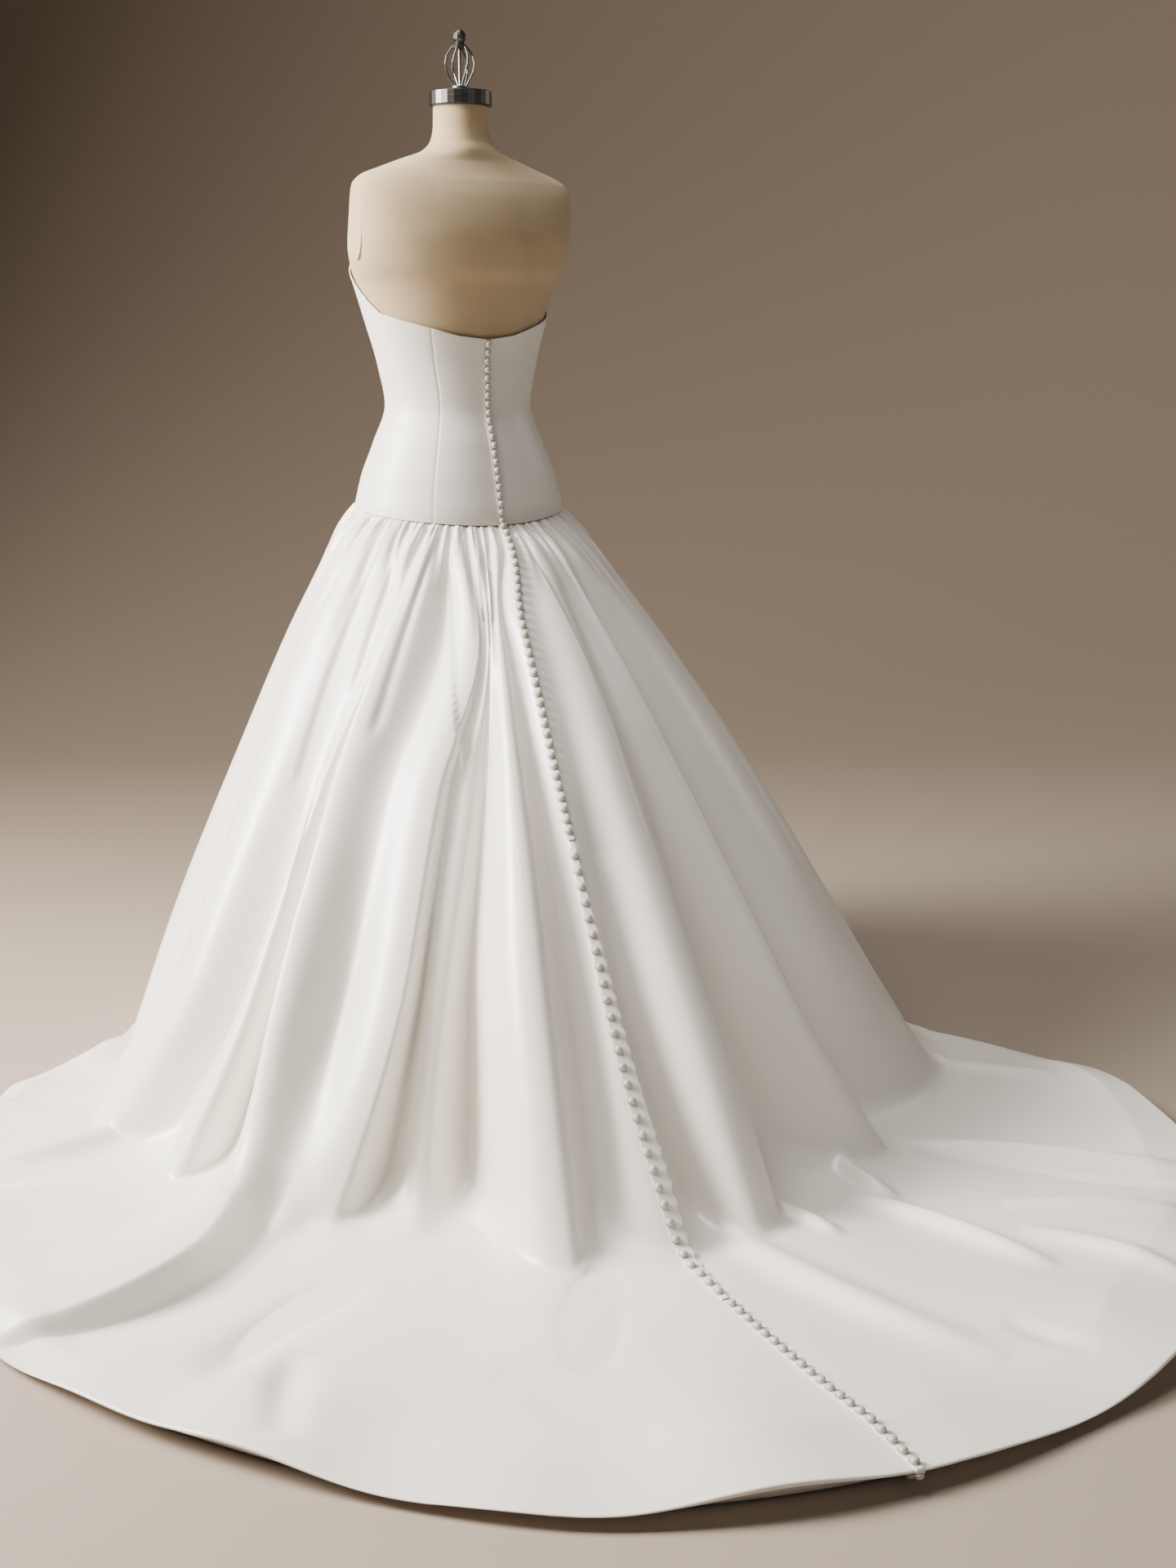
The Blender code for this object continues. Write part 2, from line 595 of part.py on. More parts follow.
def dome(place, normal, along):
    """Points and faces of one covered button, standing on a surface."""
    forward = Vector(along).normalized()
    side = Vector(normal).cross(forward).normalized()
    normal = forward.cross(side)
    place = Vector(place)
    rings = ((1.0, -0.0006), (0.80, 0.74 * BUTTON_HEIGHT))
    points = []
    for size, rise in rings:
        for step in range(BUTTON_SIDES):
            turn = 2 * math.pi * step / BUTTON_SIDES
            reach = BUTTON_RADIUS * size
            points.append(place + side * reach * math.cos(turn)
                          + forward * reach * math.sin(turn) + normal * rise)
    points.append(place + normal * BUTTON_HEIGHT)
    count = BUTTON_SIDES
    faces = [tuple(range(count))[::-1]]
    for ring in range(len(rings) - 1):
        for step in range(count):
            after = (step + 1) % count
            faces.append((ring * count + step, ring * count + after,
                          (ring + 1) * count + after, (ring + 1) * count + step))
    top = len(points) - 1
    for step in range(count):
        after = (step + 1) % count
        faces.append(((len(rings) - 1) * count + step, (len(rings) - 1) * count + after, top))
    return points, faces


def button_places(line, normals, pitch, first, last_gap):
    """Even places along a line of points, each with normal and direction."""
    steps = np.linalg.norm(np.diff(line, axis=0), axis=1)
    length = np.concatenate([[0], np.cumsum(steps)])
    count = int((length[-1] - first - last_gap) / pitch) + 1
    places = []
    for number in range(count):
        spot = first + number * pitch
        cell = min(int(np.searchsorted(length, spot) - 1), len(line) - 2)
        cell = max(cell, 0)
        share = (spot - length[cell]) / steps[cell]
        point = line[cell] * (1 - share) + line[cell + 1] * share
        normal = normals[cell] * (1 - share) + normals[cell + 1] * share
        places.append((point, normal, line[cell + 1] - line[cell]))
    return places


def strip_with_buttons(name, left, middle, right, normals, pitch, material, home, ends):
    """A strip laid along a seam, with its covered buttons fused on."""
    rows_out = []
    rows_in = []
    for spot in range(len(middle)):
        # the same order as the panels below, so that the facets match
        row = np.array([right[spot], middle[spot], left[spot]])
        lift = np.array(normals[spot])
        rows_in.append(row + lift * LAY_GAP)
        rows_out.append(row + lift * (LAY_GAP + STRIP_THICK))
    strip = wall_object(name, rows_out, rows_in, material, home)
    line = np.array([row[1] for row in rows_out])
    normal_line = np.array([lift[1] for lift in normals])
    points = []
    faces = []
    for place, normal, along in button_places(line, normal_line, pitch, *ends):
        more, more_faces = dome(place, normal, along)
        start = len(points)
        points += more
        faces += [tuple(start + corner for corner in face) for face in more_faces]
    buttons = add_mesh(name + "_buttons", points, faces, material, home, smooth=False)
    fuse(strip, buttons)
    return strip


def fuse(target, tool):
    """Boolean union of two objects, leaving one closed body."""
    modifier = target.modifiers.new("fuse", "BOOLEAN")
    modifier.operation = "UNION"
    modifier.solver = "EXACT"
    modifier.object = tool
    modifier.use_self = True
    apply_modifiers(target)
    bpy.data.objects.remove(tool, do_unlink=True)


def apply_modifiers(target):
    graph = bpy.context.evaluated_depsgraph_get()
    graph.update()
    done = bpy.data.meshes.new_from_object(target.evaluated_get(graph))
    target.modifiers.clear()
    old = target.data
    target.data = done
    bpy.data.meshes.remove(old)


def build_skirt(material, strip_material, home):
    surface = SkirtSurface()
    made = {}
    for panel in SKIRT_PANELS:
        outer, inner, normals = panel_rows(surface, panel)
        wall_object(panel.name, outer, inner, material, home)
        made[panel.name] = (outer, normals)
    left_rows, left_normals = made["train_left"]
    right_rows, right_normals = made["train_right"]
    left = []
    middle = []
    right = []
    lifts = []
    for spot, (east, west) in enumerate(zip(left_rows, right_rows)):
        doubled = spot < len(GATHER_LEVELS)
        reach = 2 if doubled else 1
        left.append(east[reach])
        right.append(west[-1 - reach])
        middle.append((east[0] + west[-1]) / 2)
        level = left_normals[spot][0] + right_normals[spot][-1]
        lifts.append([level / np.linalg.norm(level)] * 3)
    for number, stretch in enumerate(STRIP_STRETCHES):
        span = slice(stretch.first, stretch.last + 1)
        parts = [np.array(side[span]) for side in (left, middle, right)]
        for side in parts:
            shorten(side)
        ends = (0.0070 if number == 0 else stretch.pitch / 2, 0.010)
        strip_with_buttons(stretch.name, *parts, lifts[span], stretch.pitch,
                           strip_material, home, ends)


def shorten(side):
    """Keep the ends of neighbouring strips clear of each other."""
    for edge, near in ((0, 1), (-1, -2)):
        away = side[near] - side[edge]
        side[edge] = side[edge] + away / np.linalg.norm(away) * SEAM_GAP * 0.75


# The bodice

def top_height(angle):
    """Height of the bodice's top edge, the same on both sides."""
    folded = abs((angle + 180) % 360 - 180)
    return float(np.interp(folded, column(TOP_EDGE, "angle"), column(TOP_EDGE, "z")))


def bodice_grid(angles, out):
    rows = []
    for step in range(BODICE_ROWS):
        share = step / (BODICE_ROWS - 1)
        row = []
        for angle in angles:
            top = top_height(angle)
            flat = figure_point(angle, 0.89)
            polar = math.degrees(math.atan2(flat.x, flat.y))
            bottom = float(seam_height(polar)) + SEAM_GAP
            z = top + (bottom - top) * share
            row.append(figure_point(angle, z, out))
        rows.append(np.array([tuple(point) for point in row]))
    return rows


def build_bodice(material, strip_material, home):
    edge_rows = {}
    for panel in BODICE_PANELS:
        angles = np.linspace(panel.start, panel.end, panel.columns + 1)
        outer = bodice_grid(angles, 0.0)
        inner = bodice_grid(angles, -BODICE_CLOTH)
        for rows in (outer, inner):
            if panel.start == 0:
                for row in rows:
                    set_strip_column(row, 0, 1, 1)
            if panel.end == 360:
                for row in rows:
                    set_strip_column(row, -1, -2, -2)
            gap_shift(rows, "start")
            gap_shift(rows, "end")
        wall_object(panel.name, outer, inner, material, home)
        edge_rows[panel.name] = outer
    east = edge_rows["bodice_back_left"]
    west = edge_rows["bodice_back_right"]
    left = np.array([row[1] for row in east])
    right = np.array([row[-2] for row in west])
    middle = np.array([(a[0] + b[-1]) / 2 for a, b in zip(east, west)])
    lifts = []
    for spot in range(len(middle)):
        low = min(spot + 1, len(middle) - 1)
        high = max(spot - 1, 0)
        down = middle[low] - middle[high]
        normal = np.cross(left[spot] - right[spot], down)
        lifts.append([normal / np.linalg.norm(normal)] * 3)
    strip_with_buttons("placket_bodice", left, middle, right, lifts, BODICE_PITCH,
                       strip_material, home, (0.0065, 0.006))


# The dress form, its finial and its stand

def lathe(name, outline, material, home, sides=32):
    """Turned closed solid from (radius, height) points, by a Screw."""
    mesh = bpy.data.meshes.new(name)
    work = bmesh.new()
    corners = [work.verts.new((radius, 0.0, height)) for radius, height in outline]
    for low, high in zip(corners, corners[1:]):
        work.edges.new((low, high))
    work.to_mesh(mesh)
    work.free()
    mesh.materials.append(material)
    made = bpy.data.objects.new(name, mesh)
    home.objects.link(made)
    screw = made.modifiers.new("turn", "SCREW")
    screw.axis = "Z"
    screw.angle = 2 * math.pi
    screw.steps = sides
    screw.render_steps = sides
    screw.use_merge_vertices = True
    screw.merge_threshold = 0.00005
    screw.use_smooth_shade = True
    apply_modifiers(made)
    work = bmesh.new()
    work.from_mesh(made.data)
    bmesh.ops.remove_doubles(work, verts=work.verts, dist=0.00005)
    face_outward(work)
    work.to_mesh(made.data)
    work.free()
    return made


def build_torso(material, home):
    """The moulded figure under the dress, whole and clear of the cloth."""
    clear = FORM_EASE
    levels = [FORM_BOTTOM_Z + 0.012, 0.85, 0.89, 0.94, 0.98, 1.02, 1.06, 1.10,
              1.14, 1.18, 1.22, 1.26, 1.30, 1.34, 1.37, 1.386, 1.396, 1.404,
              1.413, 1.426, 1.440, 1.455, 1.475, NECK_TOP_Z]
    sides = 30
    points = []
    for z in levels:
        for step in range(sides):
            points.append(figure_point(360 * step / sides, z, -clear))
    faces = []
    for ring in range(len(levels) - 1):
        for step in range(sides):
            after = (step + 1) % sides
            faces.append((ring * sides + step, (ring + 1) * sides + step,
                          (ring + 1) * sides + after, ring * sides + after))
    rim = []
    for step in range(sides):
        point = figure_point(360 * step / sides, FORM_BOTTOM_Z + 0.012, -clear - 0.012)
        point.z = FORM_BOTTOM_Z
        rim.append(len(points))
        points.append(point)
    for step in range(sides):
        after = (step + 1) % sides
        faces.append((rim[step], step, after, rim[after]))
    faces.append(tuple(rim))
    top = (len(levels) - 1) * sides
    faces.append(tuple(range(top, top + sides)))
    return add_mesh("form_torso", points, faces, material, home)


def build_arm_plates(material, home):
    half_depth, half_height, thick = ARM_PLATE
    for name, side in (("arm_plate_left", 1), ("arm_plate_right", -1)):
        bpy.ops.mesh.primitive_cylinder_add(vertices=20, radius=1.0, depth=thick)
        made = bpy.context.object
        made.name = name
        made.data.name = name
        made.scale = (half_height, half_depth, 1.0)
        made.rotation_euler = (0, math.radians(90), 0)
        bpy.ops.object.transform_apply(location=False, rotation=True, scale=True)
        inside = ARM_CUT_X - FORM_EASE
        made.location = (side * (inside + SEAM_GAP + thick / 2), 0.000, ARM_PLATE_Z)
        made.data.materials.append(material)
        soften = made.modifiers.new("edge", "BEVEL")
        soften.width = 0.001
        soften.segments = 1
        soften.limit_method = "ANGLE"
        apply_modifiers(made)
        move_to(made, home)


def move_to(made, home):
    for old in list(made.users_collection):
        old.objects.unlink(made)
    home.objects.link(made)


def wire(name, path, radius, material, home):
    """Round wire along a path, closed at both ends."""
    curve = bpy.data.curves.new(name, "CURVE")
    curve.dimensions = "3D"
    curve.bevel_depth = radius
    curve.bevel_resolution = 1
    curve.use_fill_caps = True
    spline = curve.splines.new("POLY")
    spline.points.add(len(path) - 1)
    for point, place in zip(spline.points, path):
        point.co = (*place, 1.0)
    made = bpy.data.objects.new(name, curve)
    home.objects.link(made)
    graph = bpy.context.evaluated_depsgraph_get()
    mesh = bpy.data.meshes.new_from_object(made.evaluated_get(graph))
    bpy.data.objects.remove(made, do_unlink=True)
    work = bmesh.new()
    work.from_mesh(mesh)
    bmesh.ops.remove_doubles(work, verts=work.verts, dist=0.00005)
    face_outward(work)
    work.to_mesh(mesh)
    work.free()
    mesh.materials.append(material)
    solid = bpy.data.objects.new(name, mesh)
    home.objects.link(solid)
    return solid


def build_finial(material, home):
    """Neck cap with the bent-wire cage and the ball above it."""
    base = NECK_TOP_Z + SEAM_GAP
    top = base + CAP_HEIGHT
    cap = lathe("neck_cap", (
        (0.0, base), (CAP_RADIUS, base), (CAP_RADIUS + 0.0006, base + 0.002),
        (CAP_RADIUS + 0.0006, top - 0.0015), (CAP_RADIUS - 0.0012, top),
        (0.0150, top + 0.0012), (0.0138, top + 0.0070), (0.0, top + 0.0070)),
        material, home, sides=28)
    foot = top + 0.0055
    head = foot + CAGE_HEIGHT - 0.006
    for number in range(CAGE_WIRES):
        turn = 2 * math.pi * (number + 0.3) / CAGE_WIRES
        path = []
        for share in (0.0, 0.16, 0.36, 0.56, 0.76, 0.92, 1.0):
            swell = math.sin(math.pi * share ** 1.25) ** 0.8
            reach = 0.0082 + (CAGE_RADIUS - 0.0082) * swell
            twist = turn + 0.5 * share
            path.append((reach * math.cos(twist), reach * math.sin(twist),
                         foot + (head - foot) * share))
        fuse(cap, wire("cage_wire", path, WIRE_RADIUS, material, home))
    ball_z = head + 0.002 + BALL_RADIUS
    crown = lathe("crown", (
        (0.0, head - 0.004), (0.0105, head - 0.004), (0.0115, head),
        (0.0070, head + 0.003),
        *[(BALL_RADIUS * math.cos(a), ball_z + BALL_RADIUS * math.sin(a))
          for a in np.radians((-45, -20, 5, 30, 58))],
        (0.0, ball_z + BALL_RADIUS)), material, home, sides=16)
    fuse(cap, crown)
    stud = lathe("stud", ((0.0, foot - 0.002), (0.0024, foot - 0.002),
                          (0.0024, head - 0.002), (0.0, head - 0.002)),
                 material, home, sides=8)
    fuse(cap, stud)
    cap.name = "neck_cap_and_finial"
    cap.data.name = cap.name
    return cap


def build_stand(material, home):
    top = FORM_BOTTOM_Z - SEAM_GAP
    return lathe("stand", (
        (0.0, 0.0), (BASE_RADIUS - 0.003, 0.0), (BASE_RADIUS, 0.003),
        (BASE_RADIUS, BASE_HEIGHT - 0.005), (BASE_RADIUS - 0.006, BASE_HEIGHT),
        (0.034, BASE_HEIGHT + 0.006), (0.030, BASE_HEIGHT + 0.030),
        (POLE_RADIUS, BASE_HEIGHT + 0.034), (POLE_RADIUS, top - 0.012),
        (0.055, top - 0.008), (0.055, top), (0.0, top)), material, home, sides=24)


def main():
    clear_scene()
    home = new_collection(OBJECT_NAME)
    satin = new_material("ivory_satin", (0.86, 0.85, 0.82), 0.42)
    covered = new_material("ivory_satin_trim", (0.84, 0.83, 0.80), 0.45)
    linen = new_material("beige_linen", (0.64, 0.53, 0.41), 0.85)
    plate = new_material("pale_board", (0.68, 0.57, 0.45), 0.70)
    steel = new_material("brushed_steel", (0.30, 0.29, 0.28), 0.32, 1.0)
    build_skirt(satin, covered, home)
    build_bodice(satin, covered, home)
    build_torso(linen, home)
    build_arm_plates(plate, home)
    build_finial(steel, home)
    build_stand(steel, home)


main()
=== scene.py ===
"""Wedding dress with a chapel train on its dress form, seen from behind.

Metres, +Z up. The front faces -Y, the train lies toward +Y and the wearer's
left is +X. Angles go from +Y toward +X, in degrees.
"""

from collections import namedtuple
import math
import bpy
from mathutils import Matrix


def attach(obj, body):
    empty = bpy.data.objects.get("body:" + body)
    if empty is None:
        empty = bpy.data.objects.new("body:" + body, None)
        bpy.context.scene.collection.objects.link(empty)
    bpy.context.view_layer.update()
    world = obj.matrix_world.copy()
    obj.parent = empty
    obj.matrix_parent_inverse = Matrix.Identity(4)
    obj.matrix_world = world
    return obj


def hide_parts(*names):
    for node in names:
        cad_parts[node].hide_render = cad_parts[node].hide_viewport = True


bl_info = {
    "name": "Wedding dress with train",
    "version": (1, 0, 0),
    "blender": (4, 5, 0),
    "location": "3D View > Sidebar > Dress",
    "description": "Satin, buttons, form and stand of a wedding dress",
    "category": "Object",
}

import bmesh
import bpy
import numpy as np
from mathutils import Vector

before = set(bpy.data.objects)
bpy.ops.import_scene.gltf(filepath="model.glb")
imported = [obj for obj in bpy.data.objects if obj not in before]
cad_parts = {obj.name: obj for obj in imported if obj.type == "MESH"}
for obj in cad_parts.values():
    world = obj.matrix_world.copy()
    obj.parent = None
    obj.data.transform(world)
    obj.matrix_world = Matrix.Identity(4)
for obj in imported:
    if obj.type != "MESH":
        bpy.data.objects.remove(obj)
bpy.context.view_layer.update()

# Camera and the far scenery
CAMERA_PLACE = (1.3358, 2.6014, 1.1796)
CAMERA_TURN = 31.003      # degrees that the view turns from straight along -Y
CAMERA_PITCH = 14.28      # degrees that the view looks down
CAMERA_LENS = 41.25

# Levels of the figure, as in the solids
SEAM_BACK_Z = 0.879
SEAM_RISE = 0.033
SEAM_SECTION_Z = 0.89     # height of the section that the hip seam follows
NECK_TOP_Z = 1.505
FORM_BOTTOM_Z = 0.800
ARM_CUT_X = 0.183
FORM_EASE = 0.0048        # how far the form lies inside the bodice's outside
SEAM_GAP = 0.0003
HEM_LIFT = 0.0035

SAME_PLACE = 1e-9         # fold coordinates and rows closer than this are one

# The form's linen
LINEN_SIDES = 180
PLATE_COVER = 0.0024      # how far the linen comes up round the arm plates
UNDERSIDE_SHARE = 0.93    # size of the form's turned-in bottom ring

# Points across and down a bodice panel, reach and depth of the grooves at its
# seams and its stitching, and how far the stitching runs below the top edge
BODICE_COLUMNS = 44
BODICE_ROWS = 90
SEAM_GROOVE = (0.0012, 0.0006)
STITCH_GROOVE = (0.0009, 0.0004)
STITCH_PLACE = 0.0062

# The strip of satin under the buttons, and where the first and last ones sit
STRIP_THICK = 0.0012
STRIP_SCALLOP = 0.12      # swell of its right edge at each button
BUTTON_SEAT = 0.0015      # height of the buttons' undersides on the cloth
FIRST_SKIRT_BUTTON = 0.0070
LAST_SKIRT_GAP = 0.010
BODICE_PITCH = 0.0130
FIRST_BODICE_BUTTON = 0.0065
LAST_BODICE_GAP = 0.006

Section = namedtuple("Section", "z half_width front back centre")
FIGURE = (
    Section(0.800, 0.168, 0.160, 0.132, -0.022),
    Section(0.890, 0.172, 0.165, 0.137, -0.022),
    Section(0.940, 0.162, 0.158, 0.128, -0.022),
    Section(1.000, 0.139, 0.138, 0.113, -0.022),
    Section(1.060, 0.119, 0.114, 0.096, -0.022),
    Section(1.120, 0.131, 0.112, 0.096, -0.022),
    Section(1.180, 0.147, 0.130, 0.105, -0.022),
    Section(1.240, 0.166, 0.148, 0.115, -0.018),
    Section(1.268, 0.1805, 0.143, 0.117, -0.010),
    Section(1.300, 0.188, 0.134, 0.117, -0.006),
    Section(1.345, 0.190, 0.112, 0.104, 0.001),
    Section(1.375, 0.189, 0.096, 0.090, 0.003),
    Section(1.392, 0.184, 0.084, 0.079, 0.003),
    Section(1.402, 0.172, 0.076, 0.072, 0.002),
    Section(1.413, 0.143, 0.068, 0.065, 0.001),
    Section(1.426, 0.107, 0.060, 0.059, 0.000),
    Section(1.440, 0.068, 0.051, 0.057, 0.000),
    Section(1.455, 0.053, 0.048, 0.050, 0.000),
    Section(1.475, 0.048, 0.046, 0.047, 0.000),
    Section(1.505, 0.047, 0.046, 0.047, 0.000),
)

Edge = namedtuple("Edge", "angle z")
TOP_EDGE = (
    Edge(0, 1.160), Edge(20, 1.166), Edge(38, 1.178), Edge(59, 1.190),
    Edge(75, 1.199), Edge(88, 1.217), Edge(100, 1.238), Edge(115, 1.265),
    Edge(130, 1.285), Edge(150, 1.300), Edge(180, 1.283),
)

BodicePanel = namedtuple("BodicePanel", "name start end flat_width flat_length")
BODICE_PANELS = (
    BodicePanel("bodice_back_left", 0, 37, 0.105, 0.32),
    BodicePanel("bodice_side_back_left", 37, 92, 0.125, 0.36),
    BodicePanel("bodice_side_front_left", 92, 142, 0.135, 0.41),
    BodicePanel("bodice_front", 142, 218, 0.195, 0.42),
    BodicePanel("bodice_side_front_right", 218, 268, 0.135, 0.41),
    BodicePanel("bodice_side_back_right", 268, 323, 0.125, 0.36),
    BodicePanel("bodice_back_right", 323, 360, 0.105, 0.32),
)

# Skirt folds in order round the skirt. Angles at the hip seam, at 15, 40 and
# 70 % of the way down, on the floor and at the hem. Pushes outward in mm at 15,
# 40 and 70 % and where the fold lands. Length in mm over which it turns from
# falling to lying. Lifts in mm where it lands, halfway out and at the hem. Last,
# how full it is beside its neighbours.
Fold = namedtuple("Fold", "name seam a15 a40 a70 floor hem "
                          "p15 p40 p70 land turn lift0 lift1 lift2 full")
FOLDS = (
    Fold("front_ridge", -178, -178, -178, -178, -178, -178, 4, 12, 18, 20, 20, 0, 0, 0, 1.2),
    Fold("front_dip_1", -166, -166, -166, -166, -166, -166, -6, -16, -20, -18, 25, 0, 0, 0, 0.9),
    Fold("front_ridge_1", -154, -154, -154, -154, -154, -154, 6, 14, 18, 18, 20, 0, 0, 0, 1.2),
    Fold("front_dip_2", -143, -143, -143, -143, -143, -143, -6, -18, -20, -18, 25, 0, 0, 0, 0.9),
    Fold("front_ridge_2", -131, -131, -131, -131, -131, -131, 6, 15, 20, 22, 20, 0, 0, 0, 1.2),
    Fold("front_dip_3", -120, -120, -120, -119, -119, -119, -6, -16, -24, -22, 25, 0, 0, 0, 0.9),
    Fold("right_ridge_5", -109, -109, -108, -107, -107, -106, 6, 14, 20, 20, 20, 0, 0, 0, 1.2),
    Fold("right_dip_5", -98, -97, -95, -94, -94, -92, -6, -14, -24, -20, 30, 0, 0, 0, 0.9),
    Fold("right_ridge_4", -86, -84, -81, -79, -80, -78, 4, 10, 14, 14, 20, 0, 0, 0, 1.2),
    Fold("right_dip_4", -74, -71, -67, -64, -66, -66, -2, -5, -8, -12, 30, 2, 2, 0, 0.9),
    Fold("right_ridge_3", -65, -60, -56, -52, -55, -55, 3, 6, 9, 10, 35, 4, 3, 2, 1.2),
    Fold("right_dip_3", -58, -51, -45, -39, -48, -49, -3, -7, -12, -12, 60, 2, 4, 0, 0.9),
    Fold("right_ridge_2", -52, -45, -40, -34.5, -43.5, -44, 4, 8, 12, 14, 35, 4, 10, 4, 1.2),
    Fold("right_dip_2", -34, -23.5, -20, -19, -24, -31, -6, -12, -20, -35, 60, 4, 2, 0, 0.9),
    Fold("right_edge", -28, -19.8, -16.2, -15.6, -20, -27, 8, 14, 20, 18, 15, 6, 8, 2, 1.0),
    Fold("right_dip_1", -20, -13.5, -8.5, -6.8, -7, -13, -10, -16, -30, -110, 80, 4, 0, 0, 0.9),
    Fold("right_tube", -14, -6, -0.6, 0.7, 1.2, -6, 10, 17, 24, 18, 14, 8, 10, 3, 1.2),
    Fold("back_dip", -6, 5.5, 7.3, 8.8, 6.0, 2, 0, 0, -7, -85, 80, 4, 0, 0, 0.9),
    Fold("centre_back", 0, 10.4, 11.5, 11.4, 9.7, 8.1, 0, -2, -6, -4, 30, 6, 4, 4, 1.0),
    Fold("left_dip_1", 7, 15.2, 14.8, 15.0, 16.0, 17, -15, -24, -28, -42, 90, 2, 0, 0, 0.9),
    Fold("left_tube", 12, 18.0, 20.0, 20.5, 20.1, 25, -4, 9, 22, 26, 12, 3, 0, 0, 1.35),
    Fold("left_dip_2", 17, 20.2, 24.0, 27.8, 28.4, 33, 5, -11, -11, -165, 130, 0, 0, 0, 0.9),
    Fold("left_blade_1", 21, 21.4, 29.0, 33.0, 34.9, 38, 10, 4, 8, -50, 95, 2, 0, 0, 1.1),
    Fold("left_dip_3", 25, 22.6, 31.5, 35.0, 38.5, 41, 12, 9, 3, -75, 120, 2, 0, 0, 0.9),
    Fold("left_blade_2", 29, 24.2, 34.1, 37.4, 43.5, 45, 14, 17, 20, 2, 30, 3, 2, 0, 1.2),
    Fold("left_dip_4", 39, 35.9, 44.4, 46.2, 48.2, 57.0, -14, -12, -28, 10, 60, 4, 0, 0, 0.9),
    Fold("left_lap", 49, 51.3, 54.2, 53.5, 52.6, 58.4, 10, 18, 28, 10, 140, 30, 44, 4, 1.0),
    Fold("left_dip_5", 55, 53.6, 56.4, 56.6, 60.0, 65, 1, 0, 0, -70, 70, 12, 10, 2, 0.9),
    Fold("left_ridge_2", 60, 55.6, 59.0, 59.8, 65.0, 70, 0, 7, 14, 2, 20, 6, 6, 2, 1.2),
    Fold("left_dip_6", 67, 60.5, 63.4, 64.4, 72.5, 77, -10, -16, -24, -70, 50, 2, 0, 2, 0.9),
    Fold("left_ridge_1", 88, 84, 77, 76.2, 85, 88, 5, 12, 16, 26, 16, 3, 10, 2, 1.2),
    Fold("left_dip_7", 99, 96, 90, 90, 96.5, 99, -2, -5, -10, -30, 60, 0, 0, 4, 0.9),
    Fold("left_wing", 108, 107, 104, 104, 107, 107, 3, 6, 12, 10, 20, 6, 15, 16, 1.2),
    Fold("side_dip", 119, 118, 118, 118, 119, 119, -5, -12, -20, -14, 25, 0, 0, 0, 0.9),
    Fold("front_ridge_3", 130, 130, 130, 130, 130, 130, 6, 14, 20, 18, 20, 0, 0, 0, 1.2),
    Fold("front_dip_4", 142, 142, 142, 142, 142, 142, -6, -16, -22, -18, 25, 0, 0, 0, 0.9),
    Fold("front_ridge_4", 154, 154, 154, 154, 154, 154, 6, 15, 19, 18, 20, 0, 0, 0, 1.2),
    Fold("front_dip_5", 168, 168, 168, 168, 168, 168, -6, -16, -21, -18, 25, 0, 0, 0, 0.9),
)

# Folds that bow on the floor between where they land and the hem, in degrees
Bow = namedtuple("Bow", "name turn")
BOWS = (Bow("left_dip_4", -4.0), Bow("left_lap", -4.6))

Ray = namedtuple("Ray", "angle radius")
HEM_OUTLINE = (
    Ray(-180, 0.585), Ray(-150, 0.590), Ray(-120, 0.605), Ray(-100, 0.625),
    Ray(-80, 0.660), Ray(-68, 0.700), Ray(-58, 0.760), Ray(-49, 0.980),
    Ray(-37, 1.170), Ray(-22, 1.325), Ray(-8, 1.400), Ray(8, 1.405),
    Ray(23, 1.375), Ray(38, 1.280), Ray(55, 1.178), Ray(66, 1.110),
    Ray(78, 1.020), Ray(90, 0.880), Ray(98.8, 0.777), Ray(105, 0.670),
    Ray(114, 0.610), Ray(128, 0.585), Ray(150, 0.585), Ray(180, 0.585),
)
BELL_OUTLINE = (
    Ray(-180, 0.550), Ray(-150, 0.560), Ray(-120, 0.580), Ray(-90, 0.630),
    Ray(-70, 0.680), Ray(-58, 0.720), Ray(-48, 0.780), Ray(-20, 0.800),
    Ray(-5, 0.830), Ray(1, 0.860), Ray(9, 0.880), Ray(20, 0.840),
    Ray(35, 0.740), Ray(44, 0.745), Ray(55, 0.745), Ray(65, 0.720),
    Ray(84, 0.660), Ray(105, 0.585), Ray(122, 0.555), Ray(150, 0.550),
    Ray(180, 0.550),
)
OUTLINE_SOFTNESS = 6.0
BELL_POWER = 0.80
BELL_START = 0.01
LAND_POWER = 2.6          # how late a fold moves to where it meets the floor
LEAST_LYING = 0.012       # least cloth between where it lands and the hem
BORDER_START = 0.05       # lying length at which the border begins to stand
BORDER_GROWTH = 0.25      # more length over which it grows to its full height
RIM_RISE = 0.021          # how high the train's border stands off the floor
RIM_DROP = 0.014          # cloth that rolls down at the hem
RIM_WIDE = 0.0025         # how far the turned hem reaches out
RIM_UNDER = 0.030         # how far the cloth runs back under the hem
RIM_CORNER = 115          # degrees that the hem turns before it runs back
RIM_CORNER_SHARE = 0.16   # share of the border's height that the corner takes
RIM_CORNER_FALL = 1.42    # 1 - cos of that corner, rounded
PUFF_DEPTH = 0.0055       # how far the cloth swells out under the hip seam
RIPPLE_DEPTH = 0.0012     # unevenness of the hanging satin
LEVEL_PUSH = 0.3          # share that is kept of a push's upward part

